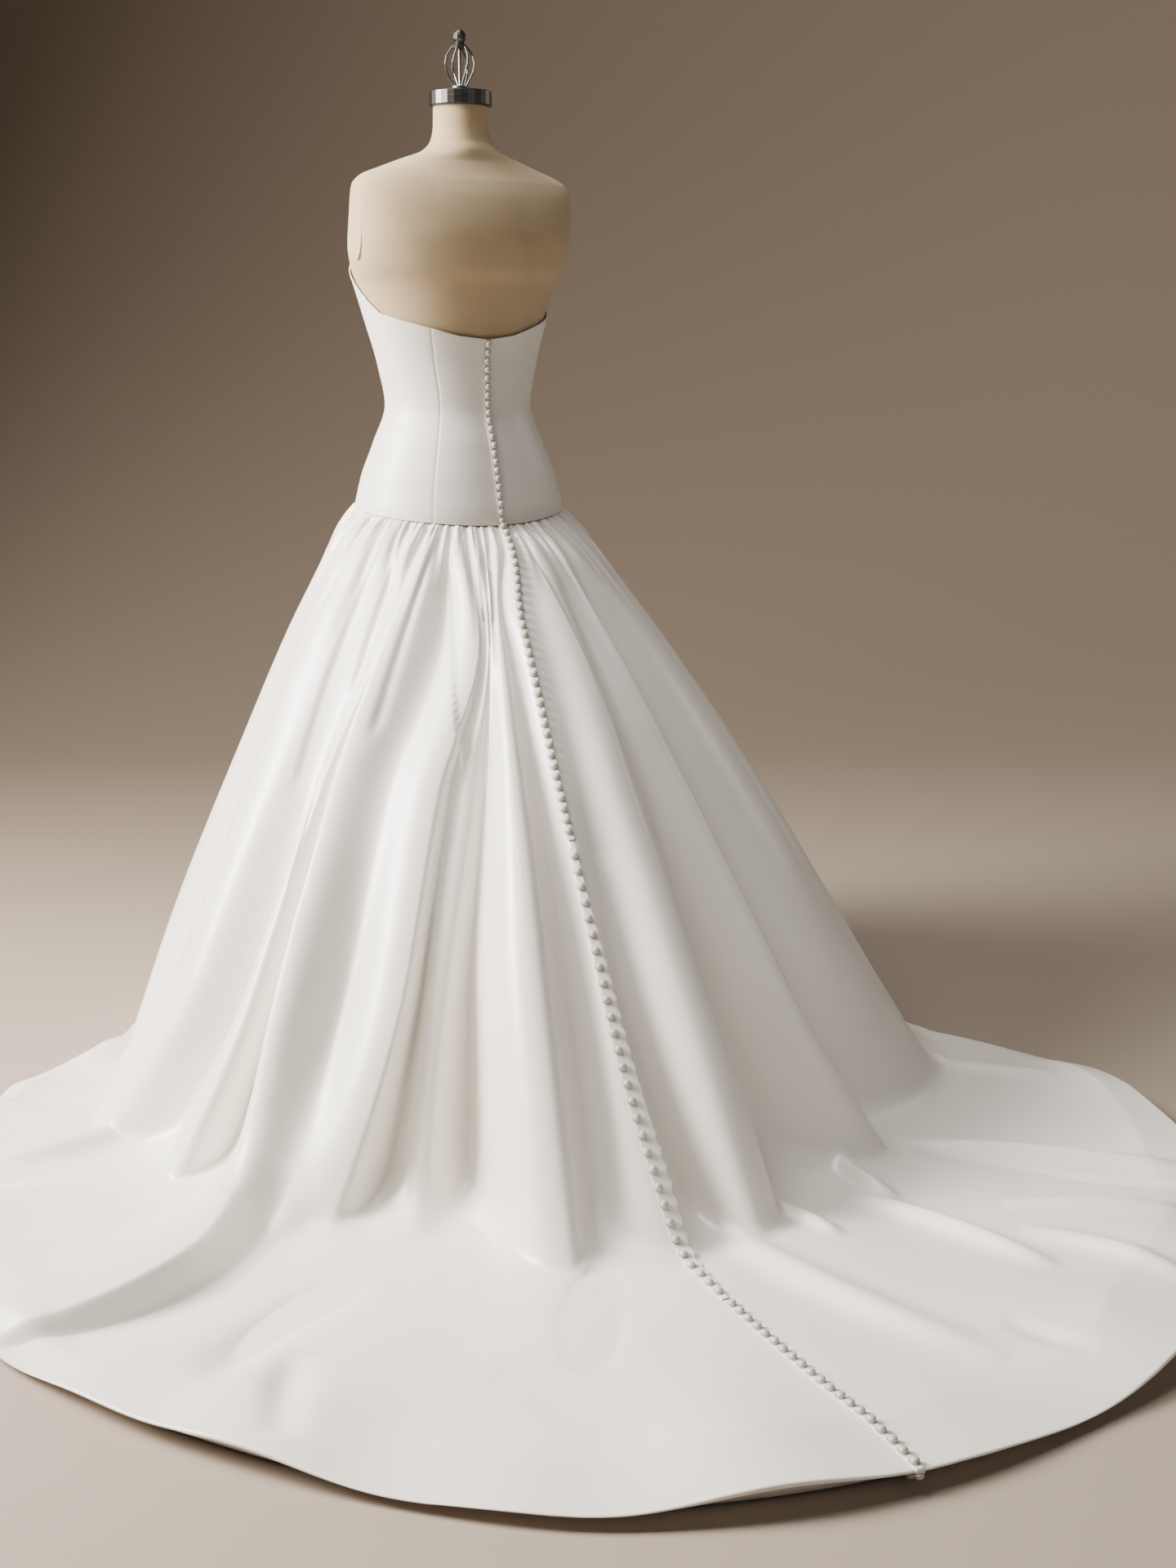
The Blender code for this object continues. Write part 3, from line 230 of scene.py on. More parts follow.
# Panels of the skirt: folds at their seams, fine columns, and the step between
# the rows that are kept. Flat is the rectangle round the cut before it was
# gathered, and area what the cut itself covers in square metres.
SkirtPanel = namedtuple("SkirtPanel", "name start end columns keep flat_width flat_length area")
SKIRT_PANELS = (
    SkirtPanel("skirt_front", "side_dip", "right_dip_4", 340, 2, 1.95, 1.08, 1.60),
    SkirtPanel("skirt_side_right", "right_dip_4", "right_dip_2", 120, 1, 0.75, 1.45, 0.62),
    SkirtPanel("train_right", "right_dip_2", "centre_back", 170, 1, 0.95, 1.62, 0.95),
    SkirtPanel("train_left", "centre_back", "left_dip_4", 190, 1, 1.35, 1.62, 1.05),
    SkirtPanel("skirt_side_left", "left_dip_4", "side_dip", 160, 1, 1.50, 1.50, 1.05),
)

# Creases of the falling cloth: angle at their start, middle and end, the rows
# where they start and end, depth in mm (minus is a trough), width in mm at
# start and end. A step keeps its depth for a while on its right side.
Crease = namedtuple("Crease", "name start middle end high low depth wide_high wide_low step")
CREASES = (
    Crease("edge_step", -24.5, -15.0, -21.5, 0.05, 1.06, -15.0, 5, 6, 60),
    Crease("streak", -15.0, -13.5, -14.0, 0.04, 0.36, 4.0, 8, 12, 0),
    Crease("far_edge", -43.0, -38.0, -45.0, 0.30, 1.02, -5.0, 9, 10, 50),
    Crease("band_edge", 36.5, 32.0, 28.0, 0.03, 0.40, -5.0, 8, 10, 40),
    Crease("tube_side", 12.6, 12.8, 14.0, 0.10, 0.98, -5.0, 8, 12, 0),
    Crease("left_line_1", 63, 61.5, 58, 0.04, 0.58, -5, 5, 8, 34),
    Crease("left_line_2", 72, 70, 68, 0.02, 0.44, -5, 5, 9, 28),
    Crease("left_line_3", 45, 47.5, 49, 0.02, 0.33, -5, 4, 8, 0),
    Crease("left_line_4", 84, 80, 79, 0.05, 0.72, 5, 6, 11, 40),
    Crease("right_line_1", -7, -5, -3.5, 0.03, 0.42, -5, 5, 9, 26),
    Crease("right_line_2", -53, -48, -45, 0.05, 0.62, -5, 5, 10, 36),
    Crease("right_line_3", -64, -60, -58, 0.02, 0.38, -5, 5, 9, 0),
    Crease("front_line_1", 150, 147, 146, 0.03, 0.50, -5, 5, 10, 30),
    Crease("front_line_2", -160, -163, -162, 0.02, 0.66, -5, 5, 11, 36),
    Crease("front_line_3", 124, 127, 126, 0.04, 0.40, -5, 5, 9, 0),
    Crease("front_line_4", -126, -124, -127, 0.03, 0.55, -5, 5, 10, 32),
    Crease("front_line_5", 174, 176, 173, 0.02, 0.46, -4, 5, 10, 0),
)

# Creases of the lying cloth: three places in metres, height in mm (minus is a
# trough) and width in mm.
FloorCrease = namedtuple("FloorCrease", "name x0 y0 x1 y1 x2 y2 height wide")
FLOOR_CREASES = (
    FloorCrease("fan_ridge_1", -0.32, 0.735, -0.45, 0.87, -0.60, 1.04, 21, 16),
    FloorCrease("fan_trough_1", -0.32, 0.775, -0.42, 0.92, -0.56, 1.07, -12, 14),
    FloorCrease("fan_ridge_2", -0.20, 0.73, -0.19, 0.80, -0.20, 0.88, 18, 12),
    FloorCrease("fan_ridge_3", -0.16, 0.83, -0.22, 0.99, -0.24, 1.14, 18, 16),
    FloorCrease("fan_ridge_4", -0.04, 0.80, -0.05, 0.86, -0.07, 0.92, 13.5, 12),
    FloorCrease("fan_ridge_5", 0.07, 0.79, 0.04, 1.03, -0.04, 1.26, 12, 22),
    FloorCrease("fan_ridge_6", -0.31, 0.97, -0.42, 1.05, -0.50, 1.12, 13.5, 16),
    FloorCrease("fan_ridge_7", -0.28, 1.04, -0.33, 1.13, -0.35, 1.27, 13.5, 16),
    FloorCrease("fan_trough_2", -0.09, 1.20, -0.10, 1.26, -0.13, 1.31, -6, 14),
    FloorCrease("side_ridge", -0.56, 0.52, -0.59, 0.60, -0.67, 0.71, 12, 17),
    FloorCrease("crescent", 0.92, 0.10, 0.74, 0.19, 0.57, 0.05, 18, 18),
    FloorCrease("crescent_trough", 0.92, 0.15, 0.75, 0.25, 0.61, 0.14, -9, 20),
    FloorCrease("wing_trough", 0.86, -0.13, 0.75, -0.06, 0.62, -0.02, -8, 18),
    FloorCrease("arc_trough_1", 0.78, 0.84, 0.70, 0.74, 0.53, 0.69, -18, 30),
    FloorCrease("arc_trough_2", 0.75, 0.99, 0.71, 0.89, 0.66, 0.82, -13, 24),
    FloorCrease("arc_trough_3", 0.48, 0.96, 0.43, 1.03, 0.45, 1.11, -4, 34),
    FloorCrease("soft_trough_1", 0.32, 0.62, 0.38, 0.72, 0.43, 0.81, -15, 22),
    FloorCrease("soft_trough_2", 0.25, 0.82, 0.32, 0.92, 0.38, 1.02, -12, 26),
    FloorCrease("hem_crease", 0.95, 0.52, 0.92, 0.61, 0.87, 0.78, 6, 22),
)

GATHER_SPACING = 3.1      # degrees between the gathers of the hip seam
PUFF_END = 0.11           # row at which the swell under the hip seam ends

# Kinds of gather: share of them up to which a kind goes, shortest and longest
# as rows, depth, and width in mm at the seam and at the end
Gather = namedtuple("Gather", "upto short long deep narrow wide")
GATHERS = (
    Gather(0.50, 0.030, 0.062, 0.80, 2.2, 5.0),
    Gather(0.80, 0.070, 0.125, 1.15, 2.8, 9.0),
    Gather(1.00, 0.150, 0.260, 1.30, 3.4, 16.0),
)

# Stretches of the strip: rows, pitch of the buttons, width of the flap on its
# right side as a share of the strip's half, and the width of the cut strip
Stretch = namedtuple("Stretch", "name first last pitch flap width")
STRIP_STRETCHES = (
    Stretch("placket_upper_skirt", 0.0, 0.46, 0.0172, 1.0, 0.015),
    Stretch("placket_lower_skirt", 0.46, 1.22, 0.0236, 3.4, 0.024),
    Stretch("placket_train", 1.22, 2.0, 0.0200, 1.0, 0.015),
)


# Round covered button: share of its radius and of its height, ring by ring
BUTTON_PROFILE = ((0.70, 0.0), (0.92, 0.16), (1.0, 0.36), (0.97, 0.56), (0.86, 0.75),
                  (0.66, 0.90), (0.36, 0.98))
BUTTON_SIDES = 14
BUTTON_TILT = 0.10
BUTTON_PUCKER = 0.03

# Cord loop beside a button: steps round it, sides and half thickness of the
# cord, reach as a share of the button's radius, place beside it and above it
LOOP_STEPS = 12
LOOP_SIDES = 5
LOOP_HALF_THICK = 0.0006
LOOP_REACH = 1.12
LOOP_ASIDE = 0.0008
LOOP_SEAT = 0.0011

# The strip across its width: share of its half, and height on the cloth
STRIP_PROFILE = ((-1.0, 0.0002), (-0.92, 0.0014), (-0.5, 0.0016), (0.0, 0.0017),
                 (0.5, 0.0018), (0.92, 0.0019), (1.0, 0.0005))

# Paper sheet: its near edge and where it starts to bend, measured from the axis
# and away from the camera, the bend's radius, its top edge and half its width
PAPER_NEAR = -7.0
PAPER_BEND_START = 2.0
PAPER_BEND_RADIUS = 2.6
PAPER_BEND_STEPS = 32
PAPER_TOP = 9.0
PAPER_HALF_WIDTH = 12

# Softboxes: place to the right, away and up from the middle of the dress as the
# camera sees it, size, power, colour and spread in degrees
Softbox = namedtuple("Softbox", "name right away up size power colour spread")
SOFTBOXES = (
    Softbox("key_softbox", -2.95, -0.45, 1.6, (1.2, 1.8), 330, (1.0, 0.95, 0.89), 150),
    Softbox("top_softbox", -1.1, -0.2, 2.9, (1.6, 1.6), 48, (1.0, 0.97, 0.93), 130),
    Softbox("fill_panel", 2.6, -2.4, 0.9, (2.6, 2.6), 8, (1.0, 0.97, 0.94), 180),
)
DRESS_MIDDLE = (0, 0.35, 0.6)


class DressSizes(bpy.types.PropertyGroup):
    """Sizes of the dress that a user may change."""

    cloth: bpy.props.FloatProperty(
        name="Satin", description="Thickness of the skirt's satin with its underlining",
        default=0.0016, unit="LENGTH")
    bodice_cloth: bpy.props.FloatProperty(
        name="Bodice", description="Thickness of the boned bodice wall",
        default=0.0020, unit="LENGTH")
    gather_depth: bpy.props.FloatProperty(
        name="Gathers", description="Depth of the gathers at the hip seam",
        default=0.0105, unit="LENGTH")
    button_radius: bpy.props.FloatProperty(
        name="Button radius", description="Radius of a covered button",
        default=0.0053, unit="LENGTH")
    button_height: bpy.props.FloatProperty(
        name="Button height", description="How far a covered button stands out",
        default=0.0066, unit="LENGTH")
    strip_half: bpy.props.FloatProperty(
        name="Placket half width", description="Half the width of the button strip",
        default=0.0056, unit="LENGTH")


class DressColours(bpy.types.PropertyGroup):
    """Colours of the dress, its form and its surroundings."""

    satin: bpy.props.FloatVectorProperty(
        name="Satin", description="Colour of the ivory satin",
        subtype="COLOR", size=3, min=0, max=1, default=(0.90, 0.855, 0.785))
    linen: bpy.props.FloatVectorProperty(
        name="Linen", description="Colour of the form's linen cover",
        subtype="COLOR", size=3, min=0, max=1, default=(0.50, 0.375, 0.222))
    steel: bpy.props.FloatVectorProperty(
        name="Steel", description="Colour of the brushed steel",
        subtype="COLOR", size=3, min=0, max=1, default=(0.115, 0.11, 0.105))
    # the floor colour is the paper lit round the dress and the backdrop colour the same paper in
    # painted shade far off; the stage material fades between them
    floor: bpy.props.FloatVectorProperty(
        name="Floor", description="Colour of the floor",
        subtype="COLOR", size=3, min=0, max=1, default=(0.36, 0.30, 0.245))
    wall: bpy.props.FloatVectorProperty(
        name="Backdrop", description="Colour of the backdrop",
        subtype="COLOR", size=3, min=0, max=1, default=(0.235, 0.185, 0.14))


def sizes():
    return bpy.context.scene.dress_sizes


def colours():
    return bpy.context.scene.dress_colours


def column(rows, name):
    """One named column of a table, as an array."""
    return np.array([getattr(row, name) for row in rows], float)


def smooth_curve(knots, values, place):
    """Monotone cubic through values (rows, knots), read at one place."""
    knots = np.asarray(knots, float)
    step = np.diff(knots)
    slope = np.diff(values, axis=1) / step
    tangent = np.zeros_like(values)
    rising = slope[:, 1:] * slope[:, :-1] > 0
    near = 2 * step[1:] + step[:-1]
    far = step[1:] + 2 * step[:-1]
    safe_low = np.where(rising, slope[:, :-1], 1.0)
    safe_high = np.where(rising, slope[:, 1:], 1.0)
    mean = (near + far) / (near / safe_low + far / safe_high)
    tangent[:, 1:-1] = np.where(rising, mean, 0.0)
    tangent[:, 0] = slope[:, 0]
    tangent[:, -1] = slope[:, -1]
    spot = int(np.clip(np.searchsorted(knots, place) - 1, 0, len(knots) - 2))
    share = (place - knots[spot]) / step[spot]
    low = values[:, spot]
    high = values[:, spot + 1]
    ease = share * share * (3 - 2 * share)
    curve = low * (1 - ease) + high * ease
    curve += tangent[:, spot] * step[spot] * share * (1 - share) ** 2
    curve -= tangent[:, spot + 1] * step[spot] * share ** 2 * (1 - share)
    return curve


def outline_radius(table, angle):
    """Radius of a closed outline at an angle, with its corners rounded."""
    angle = np.asarray(angle, float)
    angles = column(table, "angle")
    radii = column(table, "radius")
    total = np.zeros_like(angle)
    weights = 0.0
    for turn in np.linspace(-1.0, 1.0, 9):
        weight = math.cos(turn * math.pi / 2) ** 2 + 0.02
        spot = (angle + turn * OUTLINE_SOFTNESS + 180) % 360 - 180
        total = total + weight * np.interp(spot, angles, radii)
        weights += weight
    return total / weights


def figure_table():
    """The figure's sizes at closely spaced heights."""
    levels = column(FIGURE, "z")
    table = np.array([row[1:] for row in FIGURE]).T
    fine = np.linspace(levels[0], levels[-1], 1400)
    return fine, np.array([smooth_curve(levels, table, z) for z in fine]).T


FIGURE_LEVELS, FIGURE_SIZES = figure_table()


def figure_at(z):
    """Half width, front, back and centre of the figure at heights z."""
    return [np.interp(z, FIGURE_LEVELS, sizes_here) for sizes_here in FIGURE_SIZES]


def figure_points(angles, z, out=0.0, cut=ARM_CUT_X):
    """Points of the figure at angles and heights, moved out by a distance."""
    angles, z = np.broadcast_arrays(np.asarray(angles, float), np.asarray(z, float))
    half_width, front, back, centre = figure_at(z)
    turn = np.radians(angles)
    sine = np.sin(turn)
    cosine = np.cos(turn)
    depth = np.where(cosine >= 0, back, front)
    normal = np.stack([sine / half_width, cosine / depth], -1)
    normal /= np.linalg.norm(normal, axis=-1)[..., None]
    limit = cut + out
    x = half_width * sine + normal[..., 0] * out
    y = centre + depth * cosine + normal[..., 1] * out
    return np.stack([np.clip(x, -limit, limit), y, z], -1)


def seam_height(angle):
    return SEAM_BACK_Z + SEAM_RISE * (1 - np.cos(np.radians(angle))) / 2


def seam_radius(angle):
    """Distance from the axis to the hip seam, at an angle from +Y."""
    half_width, front, back, centre = figure_at(SEAM_SECTION_Z)
    sine = np.sin(np.radians(angle))
    cosine = np.cos(np.radians(angle))
    depth = np.where(cosine >= 0, back, front)
    square = (sine / half_width) ** 2 + (cosine / depth) ** 2
    middle = -2 * cosine * centre / depth ** 2
    rest = (centre / depth) ** 2 - 1
    return (-middle + np.sqrt(middle ** 2 - 4 * square * rest)) / (2 * square)


def bell(fall):
    """Share of the skirt's spread that is reached at a share of its fall."""
    top = (fall + BELL_START) ** BELL_POWER - BELL_START ** BELL_POWER
    return top / ((1 + BELL_START) ** BELL_POWER - BELL_START ** BELL_POWER)


class SkirtSurface:
    """Outside of the skirt and train, from the fold table.

    A place is a fold coordinate, whole on each fold, and a row: 0 is the hip
    seam, 1 the floor and 2 the hem.
    """

    LEVELS = (0.0, 0.15, 0.40, 0.70, 1.0)

    def __init__(self):
        names = ("seam", "a15", "a40", "a70", "floor")
        self.angles = np.array([column(FOLDS, name) for name in names]).T
        pushes = [column(FOLDS, name) / 1000 for name in ("p15", "p40", "p70")]
        still = np.zeros(len(FOLDS))
        self.pushes = np.array([still, *pushes, still]).T
        self.floor = column(FOLDS, "floor")
        self.hem = column(FOLDS, "hem")
        turns = {row.name: row.turn for row in BOWS}
        self.bow = np.array([turns.get(row.name, 0.0) for row in FOLDS])
        self.full = column(FOLDS, "full")
        self.land = column(FOLDS, "land") / 1000
        self.turn = column(FOLDS, "turn") / 1000
        self.lifts = [column(FOLDS, name) / 1000 for name in ("lift0", "lift1", "lift2")]

    def blend(self, values, fold, angle=False):
        """Value between folds: even for angles, eased for shapes."""
        count = len(FOLDS)
        low = np.floor(fold).astype(int)
        share = fold - low
        high = (low + 1) % count
        low = low % count
        if angle:
            wrap = np.where(high == 0, 360.0, 0.0)
            return values[low] * (1 - share) + (values[high] + wrap) * share
        # a full fold keeps its shape for longer on the way to the next one
        bias = self.full[low] / self.full[high]
        share = np.where(bias > 1, share ** bias, 1 - (1 - share) ** (1 / bias))
        ease = 0.5 - 0.5 * np.cos(np.pi * share)
        return values[low] * (1 - ease) + values[high] * ease

    def row_angles(self, row):
        """Angle of each fold on one row."""
        if row <= 1:
            return smooth_curve(self.LEVELS, self.angles, row)
        along = row - 1
        straight = self.floor + (self.hem - self.floor) * along * (3 - along) / 2
        return straight + self.bow * math.sin(math.pi * along)

    def one_row(self, fold, row):
        """Points of one row, at fold coordinates."""
        fall = min(row, 1.0)
        along = max(row - 1.0, 0.0)
        angle = self.blend(self.row_angles(row), fold, angle=True)
        push = self.blend(smooth_curve(self.LEVELS, self.pushes, fall), fold)
        floor_angle = self.blend(self.floor, fold, angle=True)
        reach_out = outline_radius(BELL_OUTLINE, floor_angle)
        offset = self.blend(self.land, fold)
        land = reach_out + offset
        hem_angle = self.blend(self.hem, fold, angle=True)
        hem = np.maximum(outline_radius(HEM_OUTLINE, hem_angle), land + LEAST_LYING)
        length = hem - land
        top_radius = seam_radius(angle)
        top_z = seam_height(angle)
        radius = top_radius + (reach_out - top_radius) * bell(fall) + push
        radius = radius + offset * fall ** LAND_POWER
        slant = np.hypot(top_z, land - top_radius)
        spread = (land - top_radius) * BELL_POWER / slant
        turn = np.minimum(self.blend(self.turn, fold), length * 0.9)
        run = -(1 - fall) * slant + along * length

        def eased(distance):
            middle = (distance + turn) ** 2 / (4 * turn)
            middle = np.where(distance > turn, distance, middle)
            return np.where(distance < -turn, 0.0, middle)

        radius = radius + np.maximum(run, 0) * spread + (1 - spread) * eased(run)
        height = top_z / slant * eased(-run)
        lift0, lift1, lift2 = [self.blend(values, fold) for values in self.lifts]
        lift = lift0 * max(1 - 2.2 * along, 0) ** 2
        lift = lift + lift1 * math.sin(math.pi * along ** 0.8) + lift2 * along
        reach = np.clip((length - BORDER_START) / BORDER_GROWTH, 0, 1)
        sway = 1 + 0.45 * np.cos(np.radians(hem_angle - 14) * 13) + 0.2 * np.sin(hem_angle * 0.53)
        lift = lift + reach * RIM_RISE * sway * min(1.25 * along, 1) ** 3
        near = np.clip(1 + run / np.maximum(turn, 0.02) / 1.5, 0, 1)
        # the hem turns a tight corner, then runs down and back under the border
        turned = np.clip((along - 1) * length / RIM_DROP + 1, 0, 1)
        corner = np.radians(RIM_CORNER) * np.clip(2 * turned, 0, 1)
        under = np.clip(2 * turned - 1, 0, 1)
        drop = 1 - RIM_CORNER_SHARE * (1 - np.cos(corner)) / RIM_CORNER_FALL
        drop = drop - (1 - RIM_CORNER_SHARE) * under ** 1.5
        drop = np.where(reach > 0, drop, 1.0)
        bulk = np.clip(3 * reach, 0, 1)
        roll = bulk * (RIM_WIDE * np.sin(corner) - RIM_UNDER * under - RIM_DROP * turned)
        radius = radius + np.where(reach > 0, roll, 0.0)
        height = height + near * lift * drop + HEM_LIFT * fall - SEAM_GAP * (1 - fall)
        turn_angle = np.radians(angle)
        return np.stack([radius * np.sin(turn_angle), radius * np.cos(turn_angle), height], 1)


def skirt_rows():
    """Fine rows of the skirt: close together at the gathers and the hem."""
    top = np.linspace(0.0, 0.12, 34, endpoint=False)
    fall = np.linspace(0.12, 0.84, 64, endpoint=False)
    corner = np.linspace(0.84, 1.16, 52, endpoint=False)
    lying = np.linspace(1.16, 1.94, 68, endpoint=False)
    rim = 1.94 + 0.06 * np.sin(np.linspace(0, math.pi / 2, 18))
    return np.concatenate([top, fall, corner, lying, rim])


def fold_spans():
    """Fold coordinates of every column of the skirt, panel by panel."""
    names = [fold.name for fold in FOLDS]
    spans = []
    for panel in SKIRT_PANELS:
        first = names.index(panel.start)
        last = names.index(panel.end)
        if last <= first:
            last += len(FOLDS)
        seam = column(FOLDS, "seam")
        floor = column(FOLDS, "floor")
        knots = np.arange(first, last + 1)
        whole = (seam[knots % len(FOLDS)] + floor[knots % len(FOLDS)]) / 2
        whole = whole + 360.0 * (knots >= len(FOLDS))
        # half by angle and half by fold, so that narrow folds stay smooth
        measure = (whole - whole[0]) / (whole[-1] - whole[0])
        measure = 0.5 * measure + 0.5 * (knots - first) / (last - first)
        spans.append(np.interp(np.linspace(0, 1, panel.columns + 1), measure, knots))
    return spans


def surface_normals(grid):
    """Outward normals of a grid of points (rows, columns, 3)."""
    down = np.gradient(grid, axis=0)
    across = np.gradient(grid, axis=1)
    normal = np.cross(across, down)
    normal /= np.linalg.norm(normal, axis=2)[:, :, None] + 1e-12
    return normal


def near_share(distance, width):
    """1 on a line, fading to 0 away from it."""
    return np.exp(-(distance / width) ** 2)


def gather_relief(surface, fold, rows, angles, radius):
    """How far the gathers pull the cloth in, and the share that each row swells."""
    relief = np.zeros(angles.shape)
    seam_angles = surface.angles[:, 0]
    knots = np.arange(len(FOLDS) + 1)
    seam = np.append(seam_angles, seam_angles[0] + 360)
    count = int(360 / GATHER_SPACING)
    for number in range(count):
        # three uneven shares for each gather, the same on every run
        one, two, three = (number * 0.618 % 1, number * 0.755 % 1, number * 0.569 % 1)
        place = -178 + 360 * (number + 0.7 * (one - 0.5)) / count
        kind = next(row for row in GATHERS if two <= row.upto)
        long = kind.short + (kind.long - kind.short) * three
        deep = kind.deep * (0.75 + 0.5 * one)
        at = float(np.interp(place, seam, knots))
        for spot, row in enumerate(rows):
            if row > long:
                break
            centre = float(np.interp(at, fold, angles[spot]))
            share = row / long
            strength = (0.35 + 0.65 * min(row / 0.010, 1)) * (1 - share) ** 1.2
            width = (kind.narrow + (kind.wide - kind.narrow) * share) / 1000
            distance = np.radians(angles[spot] - centre) * radius[spot]
            relief[spot] -= deep * strength * near_share(distance, width)
    puff = np.sin(np.pi * np.clip(rows / PUFF_END, 0, 1) ** 0.6) ** 1.2
    return relief, puff


def crease_relief(rows, angles, radius):
    """How far the creases of the falling cloth push it out or in."""
    relief = np.zeros(angles.shape)
    for crease in CREASES:
        for spot, row in enumerate(rows):
            if not crease.high < row < crease.low:
                continue
            share = (row - crease.high) / (crease.low - crease.high)
            keep = (1 - share) ** 2
            centre = (keep * crease.start + 2 * share * (1 - share) * crease.middle
                      + share ** 2 * crease.end)
            width = crease.wide_high + (crease.wide_low - crease.wide_high) * share
            fade = min(share / 0.15, 1) * min((1 - share) / 0.12, 1)
            fade = fade * fade * (3 - 2 * fade)
            distance = np.radians((angles[spot] - centre + 180) % 360 - 180) * radius[spot]
            shape = near_share(distance, width / 1000)
            if crease.step:
                past = np.clip(0.5 - distance / (width / 1000), 0, 1)
                past = past * past * (3 - 2 * past)
                shape = past * near_share(np.minimum(distance, 0), crease.step / 1000)
            relief[spot] += crease.depth / 1000 * fade * shape
    return relief


def floor_relief(places):
    """Height that the creases of the lying cloth add at places on it."""
    relief = np.zeros(len(places))
    for crease in FLOOR_CREASES:
        path = []
        for share in np.linspace(0, 1, 13):
            keep = (1 - share) ** 2
            middle = 2 * share * (1 - share)
            path.append((keep * crease.x0 + middle * crease.x1 + share ** 2 * crease.x2,
                         keep * crease.y0 + middle * crease.y1 + share ** 2 * crease.y2))
        path = np.array(path)
        reach = 4 * crease.wide / 1000
        inside = np.all((places[:, :2] > path.min(0) - reach)
                        & (places[:, :2] < path.max(0) + reach), axis=1)
        here = places[inside, :2]
        best = np.full(len(here), 9.0)
        along = np.zeros(len(here))
        for number, (start, end) in enumerate(zip(path, path[1:])):
            step = end - start
            offset = here - start
            share = np.clip((offset @ step) / (step @ step), 0, 1)
            distance = np.linalg.norm(offset - share[:, None] * step, axis=1)
            closer = distance < best
            best = np.where(closer, distance, best)
            along = np.where(closer, (number + share) / (len(path) - 1), along)
        fade = np.sin(np.pi * np.clip(along, 0, 1)) ** 0.7
        relief[inside] += crease.height / 1000 * fade * near_share(best, crease.wide / 1000)
    return relief


def ripple(points):
    """Low unevenness of hanging satin, the same on every run."""
    x, y, z = points[:, :, 0], points[:, :, 1], points[:, :, 2]
    wave = np.sin(9 * x + 4 * y + 5 * z + 1.0) * np.sin(7 * y - 6 * z + 0.5)
    wave += 0.6 * np.sin(17 * x - 12 * y + 9 * z) * np.sin(13 * z + 8 * x + 2.0)
    return wave


def dress_grid():
    """Fold coordinates, rows, points and outward normals of the skirt's outside."""
    surface = SkirtSurface()
    spans = fold_spans()
    joined = np.concatenate([span[:-1] for span in spans])
    fold = np.sort(joined % len(FOLDS))
    fold = np.append(fold, fold[0] + len(FOLDS))
    rows = skirt_rows()
    grid = np.array([surface.one_row(fold, row) for row in rows])
    angles = np.array([surface.blend(surface.row_angles(row), fold, angle=True) for row in rows])
    radius = np.hypot(grid[:, :, 0], grid[:, :, 1])
    normals = surface_normals(grid)
    level = normals.copy()
    level[:, :, 2] *= LEVEL_PUSH
    gathers, puff = gather_relief(surface, fold, rows, angles, radius)
    push = gathers * sizes().gather_depth + puff[:, None] * PUFF_DEPTH
    push = push + crease_relief(rows, angles, radius)
    calm = np.clip((rows - 0.05) / 0.25, 0, 1) * np.clip((1.95 - rows) / 0.1, 0, 1)
    push = push + ripple(grid) * RIPPLE_DEPTH * calm[:, None]
    grid = grid + level * push[:, :, None]
    lying = np.clip((rows - 0.93) / 0.10, 0, 1) * np.clip((2.0 - rows) / 0.04, 0, 1)
    low = np.clip((0.30 - grid[:, :, 2]) / 0.2, 0, 1)
    used = lying > 0
    raised = floor_relief(grid[used].reshape(-1, 3)).reshape(used.sum(), -1)
    grid[used, :, 2] += raised * lying[used, None] * low[used]
    grid[:, :, 2] = np.maximum(grid[:, :, 2], HEM_LIFT * np.minimum(rows, 1)[:, None])
    # close the round before taking normals, then drop the extra columns
    wrapped = np.concatenate([grid[:, -3:-1], grid, grid[:, 1:3]], axis=1)
    normals = surface_normals(wrapped)[:, 2:-2]
    return fold, rows, grid, normals


def thin_shell(name, outer, normals, thick, material):
    """Closed thin cloth from its outer points, smooth by its own normals."""
    inner = outer - normals * thick
    count_down, count_across = outer.shape[:2]
    size = count_down * count_across
    number = np.arange(size).reshape(count_down, count_across)
    a = number[:-1, :-1].ravel()
    b = number[1:, :-1].ravel()
    c = number[1:, 1:].ravel()
    d = number[:-1, 1:].ravel()
    front = np.stack([a, d, c, b], 1)
    back = np.stack([a, b, c, d], 1) + size
    ring = np.concatenate([number[0, :-1], number[:-1, -1], number[-1, :0:-1], number[:0:-1, 0]])
    after = np.roll(ring, -1)
    rim = np.stack([after, ring, ring + size, after + size], 1)
    faces = np.concatenate([front, back, rim])
    points = np.concatenate([outer.reshape(-1, 3), inner.reshape(-1, 3)])
    mesh = bpy.data.meshes.new(name)
    mesh.from_pydata(points.tolist(), [], faces.tolist())
    mesh.materials.append(material)
    mesh.polygons.foreach_set("use_smooth", np.ones(len(faces), bool))
    lines = np.concatenate([normals.reshape(-1, 3), -normals.reshape(-1, 3)])
    mesh.normals_split_custom_set_from_vertices(lines.tolist())
    mesh.update()
    made = bpy.data.objects.new(name, mesh)
    bpy.context.scene.collection.objects.link(made)
    return made


def closed_round(name, grid, normals, material):
    """Solid of rings of points, from the top ring down, closed at both ends."""
    rings, sides = grid.shape[:2]
    number = np.arange(rings * sides).reshape(rings, sides)
    after = np.roll(number, -1, axis=1)
    faces = np.stack([number[:-1].ravel(), after[:-1].ravel(), after[1:].ravel(),
                      number[1:].ravel()], 1).tolist()
    faces.append(number[0, ::-1].tolist())
    faces.append(number[-1].tolist())
    made = mesh_object(name, grid.reshape(-1, 3), faces, material)
    outward(made)
    made.data.normals_split_custom_set_from_vertices(normals.reshape(-1, 3).tolist())
    return made


